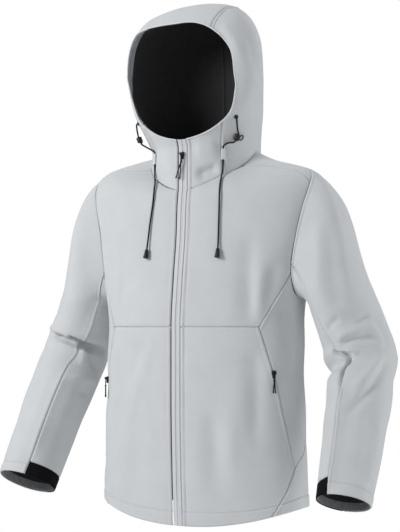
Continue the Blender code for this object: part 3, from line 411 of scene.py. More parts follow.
def hood_sizes(y, z):
    low = hood_rings.sizes(np.minimum(z, HOOD_EQUATOR))
    rise = np.maximum(z - HOOD_EQUATOR, 0.0) / (HOOD_TOP - HOOD_EQUATOR)
    lean = HOOD_LEAN * np.maximum(0.0, HOOD_POLE_Y - y) ** 2 / (HOOD_TOP - HOOD_EQUATOR)
    rise = np.minimum(1.0, rise * (1 + lean))
    size = np.maximum(1e-12, 1 - rise**HOOD_ROUND) ** (1 / HOOD_ROUND)
    half, middle, front, back, square = low
    return half * size, middle, front * size, back * size, square


def hood_field(points):
    sizes = hood_sizes(points[..., 1], points[..., 2])
    return outside(sizes, points[..., 0], points[..., 1])


def on_hood(points):
    return on_form(hood_field, HOOD_MIDDLE, points)


def on_shoulder(points):
    return on_form(torso_rings.field, CHEST_MIDDLE, points)


def hood_slice(x, turn):
    """The hood's points at x, in a direction in degrees from the front, upwards, over and back."""
    angle = np.radians(turn)
    way = triples(np.zeros_like(angle), -np.cos(angle), np.sin(angle))

    def past(reach):
        points = HOOD_MIDDLE + way * reach[..., None]
        return outside(hood_sizes(points[..., 1], points[..., 2]), x, points[..., 1])

    reach = solve(past, 0.0, HOOD_REACH, angle.shape)
    return HOOD_MIDDLE + way * reach[..., None] + triples(x, 0, 0)


def hood_side(y, z):
    half, middle, front, back, square = hood_sizes(y, z)
    depth = np.where(y < middle, front, back)
    share = np.maximum(0.0, 1 - np.abs((y - middle) / depth) ** square)
    return triples(half * share ** (1 / square), y, z)


face_edges = {side: Profile(*zip(*((z, y[side == RIGHT]) for z, *y in FACE))) for _, side in SIDES}


def face(side, z):
    """How far forward the hood's face edge lies at a height."""
    return face_edges[side](z)


def chin_spot(side, angle):
    def past(z):
        _, middle, front, _, _ = hood_rings.sizes(z)
        return np.degrees(np.arccos(np.clip((middle - face(side, z)) / front, -1.0, 1.0))) - angle

    return hood_rings.point(angle, solve(past, *CHIN_HEIGHTS, angle.shape))


def collar_edge(z):
    half = hood_rings.sizes(z)[0]
    return hood_rings.point(np.degrees(np.arcsin(ZIP_HALF / half)), z)


def brow_turn(side, x):
    def behind(turn):
        points = hood_slice(x, turn)
        drop = BROW_DROP[side] * (1 - (x / BAND_HALVES[side]) ** 2)
        return points[..., 1] - face(side, points[..., 2]) + drop

    return solve(behind, *BROW_TURNS, np.shape(x))


def nape_turn(x):
    height = neck(180.0 - np.degrees(np.arcsin(x / NECK_HALF_WIDTH)))[..., 1]
    return solve(lambda turn: height - hood_slice(x, turn)[..., 2], *NAPE_TURNS, np.shape(x))


# The sleeves

def arm_profiles(side):
    table = ARMS[side]
    rows = np.linspace(0, 1, len(table))
    return [Profile(rows, column) for column in zip(*table)]


arms = {side: arm_profiles(side) for _, side in SIDES}
front_seams = {side: Profile(*zip(*FRONT_SEAMS[side])) for _, side in SIDES}


def arm_ring(side, t, angle):
    """Points of the rings a share t along the arm, and the arm's direction there."""
    here = [column(t) for column in arms[side]]
    low = triples(*(column(np.maximum(0.0, t - ARM_REACH)) for column in arms[side][:3]))
    high = triples(*(column(np.minimum(1.0, t + ARM_REACH)) for column in arms[side][:3]))
    way = unit(high - low)
    out = unit(np.array((1.0, 0.0, 0.0)) - way * way[..., :1])
    fore = np.cross(way, out)
    turn = np.radians(angle)[..., None]
    ring = out * (here[3][..., None] * np.cos(turn)) + fore * (here[4][..., None] * np.sin(turn))
    return triples(*here[:3]) + ring, way


def sleeve(side, places):
    """Points of the plain sleeve at (angle, along), from 0 at the armhole to 1 at the cuff."""
    angle, along = np.broadcast_arrays(places[..., 0], places[..., 1])
    lower = arm_ring(side, np.maximum(0.0, (along - CAP_SHARE) / (1 - CAP_SHARE)), angle)[0]
    start = torso(armhole(angle))
    end, way = arm_ring(side, np.zeros_like(along), angle)
    t = np.minimum(1.0, along / CAP_SHARE)[..., None]
    span = np.linalg.norm(end - start, axis=-1, keepdims=True) * CAP_FULLNESS
    turn = np.radians(angle)
    out, fore, down, under = CAP_LEAVES
    leave = unit(triples(out, fore * np.sin(turn), down + under * (1 - np.cos(turn))))
    cap = (
        start * (2 * t**3 - 3 * t**2 + 1)
        + leave * (span * (t**3 - 2 * t**2 + t))
        + end * (3 * t**2 - 2 * t**3)
        + way * (span * (t**3 - t**2))
    )
    return np.where((along >= CAP_SHARE)[..., None], lower, cap)


def cuff_along(side, length):
    """How far along the sleeve a ring lies at a length above the cuff's edge."""
    edge = sleeve(side, np.array((CUFF_MEASURED_AT, 1.0)))

    def past(along):
        return length - np.linalg.norm(sleeve(side, pairs(CUFF_MEASURED_AT, along)) - edge, axis=-1)

    return float(solve(past, *CUFF_SHARES))


def pressed(folds, angle, along):
    """How deep the large folds press the cloth in at each place."""
    total = np.zeros(np.broadcast(angle, along).shape)
    for fold in folds:
        turn = ((angle - fold.angle + 180) % 360 - 180) / fold.half_angle
        off = (along - fold.along) / fold.half_along
        near = (np.abs(turn) < 1) & (np.abs(off) < 1)
        total += near * fold.depth * (np.cos(turn * np.pi / 2) * np.cos(off * np.pi / 2)) ** 2
    return total


def posed(points):
    """Points of the even garment, moved with the raised right shoulder."""
    out = ease((-points[..., 0] - LIFT_FROM[0]) / LIFT_OVER[0])
    up = ease((points[..., 2] - LIFT_FROM[1]) / LIFT_OVER[1])
    return points + triples(0, 0, RIGHT_SHOULDER_LIFT * (out * up))


# Seams and edges, each read by the share of its length

FINE = 120
CLOTH_MAP = "cloth"


def read(line, far, at):
    """Points of a line at lengths along it, given how far along its own points lie."""
    return np.stack([np.interp(at, far, column) for column in line.T], -1)


class Run:
    """A seam or an edge: close places along it, and the rows of a panel that it takes up."""

    def __init__(self, places, count, spot=torso):
        self.places = np.asarray(places, float)
        self.count = count
        spots = spot(self.places)
        far = np.linalg.norm(np.diff(spots, axis=0), axis=-1)
        self.far = np.concatenate(([0.0], np.cumsum(far)))
        self.length = self.far[-1]

    def at(self, shares):
        return read(self.places, self.far, np.asarray(shares) * self.length)

    def back(self):
        return self.like(self.places[::-1], self.far[-1] - self.far[::-1])

    def mirrored(self):
        places = self.places.copy()
        if places.shape[-1] == 2:
            places[:, 0] = 360 - places[:, 0]
        else:
            places[:, 0] *= -1
        return self.like(places, self.far)

    def like(self, places, far):
        made = object.__new__(Run)
        made.places, made.far, made.count, made.length = places, far, self.count, self.length
        return made

    def part(self, start, end, count):
        """A stretch between two shares of the length."""
        return point_run(self.at(np.linspace(start, end, FINE)), count)


def point_run(points, count):
    """A run whose places are points already."""
    return Run(points, count, lambda found: found)


class Edge:
    """Runs joined end to end as one side of a panel."""

    def __init__(self, *runs):
        self.runs = runs
        self.ends = np.cumsum([0.0] + [run.count for run in runs])
        self.ends = self.ends / self.ends[-1]
        self.length = sum(run.length for run in runs)

    def which(self, shares):
        return np.clip(np.searchsorted(self.ends, shares, side="right") - 1, 0, len(self.runs) - 1)

    def at(self, shares):
        which = self.which(shares)
        found = np.empty((len(shares), self.runs[0].places.shape[-1]))
        for i, run in enumerate(self.runs):
            mine = which == i
            found[mine] = run.at((shares[mine] - self.ends[i]) / (self.ends[i + 1] - self.ends[i]))
        return found

    def back(self):
        return Edge(*(run.back() for run in self.runs[::-1]))

    def mirrored(self):
        return Edge(*(run.mirrored() for run in self.runs))


def through(knots, count=FINE):
    """Places along a smooth curve through knots."""
    knots = np.asarray(knots, float)
    if len(knots) == 2:
        return knots[0] + (knots[1] - knots[0]) * np.linspace(0, 1, count)[:, None]
    padded = np.concatenate((2 * knots[:1] - knots[1:2], knots, 2 * knots[-1:] - knots[-2:-1]))
    place = np.linspace(0, len(knots) - 1, count)
    i = np.minimum(place.astype(int), len(knots) - 2)
    t = (place - i)[:, None]
    before, a, b, after = (padded[i + k] for k in range(4))
    bend = before * 2 - a * 5 + b * 4 - after
    twist = a * 3 - before - b * 3 + after
    return a + ((b - before) * t + bend * t**2 + twist * t**3) / 2


def between(start, end, count=FINE):
    return np.linspace(start, end, count)


def yoke_places():
    near = torso(neck(np.array(YOKE_AT_NECK)))
    far = torso(armhole(np.array(YOKE_AT_ARMHOLE)))
    line = near + (far - near) * np.linspace(0, 1, FINE)[:, None]
    return torso_from_above(line[:, 0], line[:, 1])


def torso_seams():
    corner = np.array((CHEST_CORNER, CHEST_SEAM))
    low = np.array(POCKET_LOW)
    tip = low + (SIDE_TIP, TIP_SLANT)
    turn = np.array((BACK_SEAM, BACK_SEAM_TURN))
    side_line = (
        armhole(BACK_AT_ARMHOLE), *((BACK_SEAM, height) for height in BACK_SEAM_HEIGHTS),
        turn, turn + BACK_SEAM_RUN_OUT, tip,
    )
    hem_end = hem(HEM_SEAM)
    bow = (low + hem_end) / 2 + HEM_SEAM_BOW
    zip_top = float(neck(ZIP_PLAN)[1])
    return {
        "chest": Run(through((front_edge(CHEST_SEAM), corner)), 9),
        "diagonal": Run(through((corner, armhole(SIDE_AT_ARMHOLE))), 3),
        "pocket": Run(through((corner, (corner + low) / 2 + POCKET_BOW, low)), 8),
        "side": Run(through(side_line), 11),
        "hem_seam": Run(through((low, bow, hem_end)), 4),
        "tip": Run(through((low, tip)), 1),
        "yoke": Run(yoke_places(), 3),
        "neck_collar": Run(neck(between(ZIP_PLAN, COLLAR_SEAM)), 4),
        "neck_front": Run(neck(between(COLLAR_SEAM, YOKE_AT_NECK)), 2),
        "neck_side": Run(neck(between(YOKE_AT_NECK, NAPE_PLAN)), 6),
        "neck_nape": Run(neck(between(NAPE_PLAN, 360 - NAPE_PLAN)), 6),
        "arm_front": Run(armhole(between(YOKE_AT_ARMHOLE, SIDE_AT_ARMHOLE)), 6),
        "arm_under": Run(armhole(between(SIDE_AT_ARMHOLE, BACK_AT_ARMHOLE)), 4),
        "arm_back": Run(armhole(between(BACK_AT_ARMHOLE, SHOULDER_AT_ARMHOLE)), 5),
        "arm_top": Run(armhole(between(SHOULDER_AT_ARMHOLE, YOKE_AT_ARMHOLE + 360)), 5),
        "upper_zip": Run(front_edge(between(CHEST_SEAM, zip_top)), 9),
        "lower_zip": Run(front_edge(between(HEM_FRONT, CHEST_SEAM)), 12),
        "front_hem": Run(hem(between(front_edge(HEM_FRONT)[0], HEM_SEAM)), 9),
        "back_hem": Run(hem(between(HEM_SEAM, 360 - HEM_SEAM)), 24),
    }


def in_space(run):
    """A body seam as points."""
    return point_run(torso(run.places), run.count)


def hood_seams(seams, side):
    """The hood's seams on one side, in left-hand space."""
    t = np.linspace(0, 1, 2 * FINE)
    start = BAND_HALVES[side]
    fade = 1 - ease((t - BAND_SWELL_AT) / BAND_SWELL_FADE)
    swell = BAND_SWELL[side] * ease(t / BAND_SWELL_AT) * fade
    half = start + (BAND_HALF_NAPE - start) * ease(t) + swell
    brow, nape = brow_turn(side, np.array(start)), nape_turn(np.array(BAND_HALF_NAPE))
    band = hood_slice(half, brow + (nape - brow) * t)
    runs = {name: in_space(run) for name, run in seams.items() if name.startswith("neck")}
    band[-1] = runs["neck_side"].places[-1]
    chin = chin_spot(side, between(0, COLLAR_SEAM))
    chin = chin[chin[:, 0] >= ZIP_HALF]
    chin = np.concatenate((collar_edge(np.array(CHIN))[None], chin))
    low, high = runs["neck_front"].places[0], chin[-1]
    seam = on_hood(low + (high - low) * np.linspace(0, 1, FINE)[:, None])
    seam[0], seam[-1] = low, high
    heights = between(high[2], band[0][2])
    edge = hood_side(face(side, heights), heights)
    edge[-1] = band[0]
    zip_heights = between(runs["neck_collar"].places[0][2], CHIN)
    x = between(0, start)
    whole = point_run(band, 20)
    return dict(
        runs, band=whole, chin=point_run(chin, 4), seam=point_run(seam, 4),
        face=point_run(edge, 8), zip=point_run(collar_edge(zip_heights), 4),
        brow=point_run(hood_slice(x, brow_turn(side, x)), 3),
        band_front=whole.part(0.0, BAND_FRONT_SHARE, 8),
        band_back=whole.part(BAND_FRONT_SHARE, 1.0, 12),
    )


# Panels

SPACING = 0.0046
SEAM_STEPS = (0.0, 0.0008, 0.0018, 0.0030, 0.0046, 0.0062, 0.0080, 0.0110, 0.0150)
SEAM_STEPS_SHARE = 0.45
ROW_CLEARANCE = 0.4
ROW_MERGE = 1e-3
HEM_ROWS_REACH = (-0.008, 0.009)
HEM_ROW = 0.0012


def graded(edges, spacing=SPACING):
    """Shares along two facing edges: fine at both ends, and a row at every corner."""
    length = sum(edge.length for edge in edges) / len(edges)
    corners = np.unique(np.round(np.concatenate([edge.ends for edge in edges]), 6))
    near = np.array(SEAM_STEPS) / length
    near = near[near < SEAM_STEPS_SHARE]
    inner = []
    for a, b in zip(corners, corners[1:]):
        inner.append(np.linspace(a, b, max(2, math.ceil((b - a) * length / spacing)) + 1))
    middle = np.unique(np.concatenate(inner))
    clear = ROW_CLEARANCE * spacing / length
    keep = (middle > near[-1] + clear) & (middle < 1 - near[-1] - clear)
    return np.unique(np.concatenate((near, middle[keep], 1 - near)))


def closer(rows, stretch):
    """Rows with a stretch of closer ones in the place of those between its ends."""
    if len(stretch) == 0:
        return rows
    outer = rows[(rows < stretch[0] - ROW_MERGE) | (rows > stretch[-1] + ROW_MERGE)]
    return np.unique(np.concatenate((outer, stretch)))


def hem_rows(height):
    """Close rows at a hem's stitching, for a net of some height."""
    low, high = (HEMMED.stitched + reach for reach in HEM_ROWS_REACH)
    return np.arange(low, high, HEM_ROW) / height


def patch(bottom, right, top, left, columns, rows):
    """A smooth net between four edges. Bottom and top go right, left and right go up."""
    u, v = columns[None, :, None], rows[:, None, None]
    b, t, l, r = bottom.at(columns), top.at(columns), left.at(rows), right.at(rows)
    corners = (1 - v) * ((1 - u) * b[0] + u * b[-1]) + v * ((1 - u) * t[0] + u * t[-1])
    net = (1 - u) * l[:, None] + u * r[:, None] + (1 - v) * b[None] + v * t[None] - corners
    net[:, 0], net[:, -1], net[0], net[-1] = l, r, b, t
    return net


def normals_of(points):
    """Unit normals of a net of points, to the right-hand side of its rows and columns."""
    return unit(np.cross(np.gradient(points, axis=1), np.gradient(points, axis=0)))


def gaps_along(points, axis):
    """Lengths along rows or columns from their start."""
    far = np.linalg.norm(np.diff(points, axis=axis), axis=-1)
    start = np.zeros_like(np.take(far, [0], axis=axis))
    return np.concatenate((start, np.cumsum(far, axis=axis)), axis=axis)


# How an edge is finished: a groove at the seam, a raised lap, and stitches at a distance
STITCH_DIP = 0.0008
STITCH_WIDTH = 0.0016
Seam = namedtuple("Seam", "groove lap stitched dip", defaults=(STITCH_DIP,))
SEWN = Seam(0.0018, 0.0, 0.0)
NECK_SEAM = Seam(0.0007, 0.0, 0.0)
LAPPED = Seam(0.0016, 0.0011, 0.0062)
ARM_SEAM = Seam(0.0009, 0.0010, 0.0066)
ARM_EDGE = Seam(0.0006, 0.0, 0.0)
ZIP_EDGE = Seam(0.0009, 0.0009, 0.0080, 0.0013)
FOLDED = Seam(0.0005, 0.0, 0.0)
HEMMED = Seam(0.0006, 0.0013, 0.0255, 0.0016)
CUFF_HEM = Seam(0.0006, 0.0010, 0.0195, 0.0014)
GROOVE_WIDTH = 0.0018
LAP_RISE = 0.0022
LAP_FALL = 0.0030
LAP_FALL_AT = 0.0012
ZIP_CALM = 0.030
PUCKER = 0.00016
PUCKER_PITCH = 0.0135
PUCKER_REACH = 0.011
PUCKER_CLEAR = 0.003
PUCKER_DRIFT = 2.1
PUCKER_DRIFT_LENGTH = 0.037


def seam_relief(seam, far, along):
    """How an edge's finish raises the cloth, by distance from the edge and along it."""
    relief = -seam.groove * np.exp(-((far / GROOVE_WIDTH) ** 2))
    if seam.lap:
        fall = ease((far - seam.stitched + LAP_FALL_AT) / LAP_FALL)
        relief += seam.lap * ease(far / LAP_RISE) * (1 - fall)
    if seam.stitched:
        relief -= seam.dip * np.exp(-(((far - seam.stitched) / STITCH_WIDTH) ** 2))
    drift = PUCKER_DRIFT * np.sin(along / PUCKER_DRIFT_LENGTH)
    wave = np.sin(2 * np.pi * along / PUCKER_PITCH + drift)
    return relief + PUCKER * wave * np.exp(-far / PUCKER_REACH) * ease(far / PUCKER_CLEAR)


# A crease: depth pressed in (below zero raises a ridge), half width, places, lean to one side
Crease = namedtuple("Crease", "depth width places lean", defaults=(0.0,))
CREASE_STEPS = 8
CREASE_REACH = 2.6
CREASE_TAPER = 0.3


def crease_relief(crease, spots, points, normals):
    """How a crease along spots moves the cloth at some points."""
    line = through(spots, CREASE_STEPS * len(spots))
    reach = CREASE_REACH * crease.width * (1 + abs(crease.lean))
    low, high = line.min(0) - reach, line.max(0) + reach
    near = np.nonzero(((points > low) & (points < high)).all(-1))
    relief = np.zeros(points.shape[:-1])
    if not len(near[0]):
        return relief
    here, ways = points[near], normals[near]
    best = np.full(len(here), np.inf)
    share = np.zeros(len(here))
    hand = np.zeros(len(here))
    for i, (a, b) in enumerate(zip(line, line[1:])):
        along = b - a
        t = np.clip(((here - a) @ along) / max(along @ along, 1e-12), 0, 1)
        off = here - a - t[:, None] * along
        far = np.linalg.norm(off, axis=-1)
        nearer = far < best
        best = np.where(nearer, far, best)
        share = np.where(nearer, (i + t) / (len(line) - 1), share)
        hand = np.where(nearer, np.sign(np.einsum("ij,ij->i", np.cross(along, ways), off)), hand)
    width = crease.width * (1 + crease.lean * hand)
    taper = ease(share / CREASE_TAPER) * ease((1 - share) / CREASE_TAPER)
    relief[near] = -crease.depth * taper * np.exp(-((best / width) ** 2))
    return relief


# Slow swells of the cloth, by direction, wavelength and height
SWELLS = (
    ((0.9, 0.3, 0.5), 0.072, 0.00034),
    ((-0.5, 0.6, 0.8), 0.101, 0.00042),
    ((0.2, -0.9, 0.6), 0.047, 0.00020),
    ((0.7, 0.5, -0.6), 0.133, 0.00055),
)
SWELL_PHASE = 1.7
SWELL_BEND = 1.3
SWELL_BEND_LENGTH = 0.063


def swell_relief(points):
    """How the slow swells move the cloth. They die out at the front zip."""
    total = np.zeros(points.shape[:-1])
    for number, (way, length, height) in enumerate(SWELLS):
        turned = points @ (np.array(way) / np.linalg.norm(way)) * 2 * np.pi / length
        bend = SWELL_BEND * np.sin(points[..., 2] / SWELL_BEND_LENGTH + number)
        total += height * np.sin(turned + SWELL_PHASE * number + bend)
    return total * calm(points)


def calm(points):
    """Zero at the front zip, which lies flat, and one away from it."""
    return np.where(points[..., 1] < 0, ease((np.abs(points[..., 0]) - ZIP_HALF) / ZIP_CALM), 1.0)


class Net:
    """A panel's points between four edges, with rows and columns that are fine at the seams."""

    def __init__(self, project, spacing=SPACING, columns=None, closer_rows=(), **edges):
        self.edges = edges
        if columns is None:
            columns = graded((edges["bottom"], edges["top"]), spacing)
        self.columns = columns
        self.rows = graded((edges["left"], edges["right"]), spacing)
        for stretch in closer_rows:
            self.rows = closer(self.rows, stretch)
        self.places = patch(columns=self.columns, rows=self.rows, **edges)
        self.points = project(self.places)
        self.depth = np.zeros(self.points.shape[:2])

    def press(self, folds, side):
        self.depth = pressed(folds, self.places[..., 0] * side, self.places[..., 1])
        return self

    def on_top(self, other):
        """This net with another one above it, which goes on from its last row."""
        self.points = np.concatenate((self.points[:-1], other.points))
        self.depth = np.concatenate((self.depth[:-1], other.depth))
        for where in ("left", "right"):
            low, high = self.edges[where], other.edges[where]
            self.edges[where] = Edge(*low.runs, *high.runs)
        share = self.edges["left"].ends[len(low.runs)]
        self.rows = np.concatenate((self.rows[:-1] * share, share + other.rows * (1 - share)))
        self.edges["top"] = other.edges["top"]
        return self


# The least share of its rectangle that a cut takes up
LEAST_CUT = 0.31
stitch_lines = []


def line_at(points, ways, far, distance):
    """The line on a net at a distance from its first row, and its ways out."""
    columns = range(points.shape[1])
    line = np.array([read(points[:, i], far[:, i], distance) for i in columns])
    out = np.array([read(ways[:, i], far[:, i], distance) for i in columns])
    return line, unit(out)


def finished_edges(net, seams):
    """Each stretch of a net's edges that has a finish: its edge, its finish and its places."""
    for where, kinds in seams.items():
        shares = net.rows if where in ("left", "right") else net.columns
        which = net.edges[where].which(shares)
        for number, kind in enumerate(kinds):
            if kind is not None:
                yield where, kind, which == number


def turned(where, array):
    """A net's array with its rows starting at one of the edges."""
    if where in ("left", "right"):
        array = np.swapaxes(array, 0, 1)
    return array[::-1] if where in ("top", "right") else array


def dressed(net, side, seams, creases):
    """The net's points with folds, creases, swells and seams. Stitch lines are kept for later."""
    normals = normals_of(net.points)
    height = swell_relief(net.points * (side, 1, 1)) - net.depth
    for crease, spots in creases:
        height += crease_relief(crease, spots, net.points, normals) * calm(net.points)
    for where, kind, mine in finished_edges(net, seams):
        far = gaps_along(turned(where, net.points), 0)
        along = gaps_along(turned(where, net.points), 1)
        turned(where, height)[...] += mine[None, :] * seam_relief(kind, far, along)
    points = net.points + normals * height[..., None]
    ways = normals_of(points)
    for where, kind, mine in finished_edges(net, seams):
        if kind.stitched and mine.sum() > 2:
            far = gaps_along(turned(where, points), 0)
            line, out = line_at(turned(where, points), turned(where, ways), far, kind.stitched)
            stitch_lines.append((posed(line[mine] * (side, 1, 1)), out[mine] * (side, 1, 1)))
    return points


def worn(points, side):
    """A left-hand net's points on their own side, moved with the pose."""
    if side == RIGHT:
        points = points[:, ::-1] * (RIGHT, 1, 1)
    return posed(points)


def add_cloth(sheet, points, second=None):
    """Adds a grid that lies on a net of points, with its cloth laid flat as its map.

    Second says at which points of the net the faces have the second finish.
    """
    rows, columns = points.shape[0] - 1, points.shape[1] - 1
    made = bmesh.ops.create_grid(sheet, x_segments=columns, y_segments=rows, size=0.5)["verts"]
    if second is not None:
        for facet in {facet for vert in made for facet in vert.link_faces}:
            middle = facet.calc_center_median()
            i, j = int((middle.x + 0.5) * columns), int((middle.y + 0.5) * rows)
            facet.material_index = int(second[j, i])
    across, up = gaps_along(points, 1), gaps_along(points, 0)
    across = across - across[:, -1:] / 2
    cloth_map = sheet.loops.layers.uv.get(CLOTH_MAP) or sheet.loops.layers.uv.new(CLOTH_MAP)
    for vert in made:
        i, j = round((vert.co.x + 0.5) * columns), round((vert.co.y + 0.5) * rows)
        vert.co = points[j, i]
        for loop in vert.link_loops:
            loop[cloth_map].uv = across[j, i], up[j, i]


def add_wall(piece, thickness, last_inside=True):
    """Gives a sheet its wall inwards, with the last finish or the same one inside."""
    wall = piece.modifiers.new("wall", "SOLIDIFY")
    wall.thickness = thickness
    wall.offset = -1.0
    wall.use_even_offset = False
    wall.material_offset = len(piece.data.materials) - 1 if last_inside else 0


def lay_cloth(name, points, finishes, thickness, second=None):
    """A cloth panel on a net of points."""
    sheet = bmesh.new()
    add_cloth(sheet, points, second)
    piece = add_piece(name, sheet, finishes)
    add_wall(piece, thickness, second is None)
    return piece


def cut_size(points):
    """The width, length and area of a net's cloth when it lies flat."""
    width = float(gaps_along(points, 1)[:, -1].max())
    length = float(gaps_along(points, 0)[-1].max())
    sides = points[1:, :-1] - points[:-1, :-1], points[:-1, 1:] - points[:-1, :-1]
    area = float(np.linalg.norm(np.cross(*sides), axis=-1).sum())
    return width, length, min(max(area, LEAST_CUT * width * length), width * length)


def faces_on_side(mask, side):
    """A mask of a left-hand net's points on their own side."""
    return mask[:, ::-1] if side == RIGHT else mask


def stand_in(piece, node, body="jacket"):
    """Puts a piece in the place of a solid."""
    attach(piece, body)
    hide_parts(node)
    return piece


def add_shell(node, net, side, seams, creases, finishes, thickness, second=None):
    """A cloth shell that stands for a panel's solid."""
    points = worn(dressed(net, side, seams, creases), side)
    piece = lay_cloth(f"{node}_shell", points, finishes, thickness, second)
    stand_in(piece, node)
    cut_size(points)


def add_piece(name, sheet, finishes):
    """Links a finished bmesh as an object at the origin."""
    mesh = bpy.data.meshes.new(name)
    sheet.to_mesh(mesh)
    sheet.free()
    mesh.shade_smooth()
    for finish in finishes:
        mesh.materials.append(finish)
    piece = bpy.data.objects.new(name, mesh)
    bpy.context.scene.collection.objects.link(piece)
    return piece


# Creases, listed one by one. A torso place is (angle, height), a sleeve place is (angle, along)
# and a hood place is a point

BODY_CREASES = (
    Crease(0.0060, 0.018, ((35, -0.130), (37, -0.205), (41, -0.270), (43, -0.330)), 0.2),
    Crease(-0.0040, 0.011, ((45, -0.195), (47, -0.265), (49.5, -0.318))),
    Crease(0.0026, 0.013, ((55, -0.190), (56, -0.245), (53, -0.290))),
    Crease(-0.0024, 0.014, ((-10, -0.335), (-17, -0.385), (-28, -0.470), (-33, -0.530))),
    Crease(0.0022, 0.014, ((-20, -0.345), (-27, -0.400), (-36, -0.470))),
    Crease(0.0054, 0.020, ((45, -0.345), (46.5, -0.395), (46, -0.455), (44, -0.560)), 0.2),
    Crease(-0.0022, 0.014, ((28, -0.420), (30, -0.500), (29, -0.590))),
    Crease(0.0026, 0.016, ((17, -0.460), (20, -0.540), (18, -0.640))),
    Crease(-0.0022, 0.012, ((-38, -0.200), (-44, -0.260), (-47, -0.316))),
    Crease(0.0024, 0.015, ((-30, -0.160), (-36, -0.220), (-39, -0.300))),
    Crease(0.0030, 0.012, ((66, -0.270), (74, -0.320), (79, -0.380))),
    Crease(-0.0028, 0.012, ((80, -0.290), (84, -0.350), (86, -0.430))),
    Crease(0.0032, 0.015, ((92, -0.330), (95, -0.410), (92, -0.500))),
    Crease(0.0028, 0.014, ((-72, -0.290), (-79, -0.350), (-84, -0.430))),
    Crease(-0.0026, 0.013, ((-88, -0.310), (-92, -0.390), (-90, -0.470))),
    Crease(0.0034, 0.016, ((118, -0.300), (128, -0.350), (141, -0.385), (158, -0.400))),
    Crease(-0.0026, 0.015, ((122, -0.350), (136, -0.400), (152, -0.428))),
    Crease(0.0036, 0.018, ((-116, -0.320), (-127, -0.368), (-143, -0.400), (-165, -0.408))),
    Crease(-0.0028, 0.014, ((-120, -0.370), (-137, -0.424), (-150, -0.446))),
    Crease(0.0028, 0.014, ((172, -0.120), (176, -0.200), (173, -0.290))),
    Crease(0.0030, 0.016, ((146, -0.130), (150, -0.200), (157, -0.260))),
    Crease(0.0028, 0.015, ((-148, -0.140), (-153, -0.215), (-160, -0.285))),
    Crease(-0.0024, 0.016, ((165, -0.480), (161, -0.560), (164, -0.650))),
    Crease(0.0026, 0.014, ((-166, -0.500), (-160, -0.580), (-163, -0.660))),
)
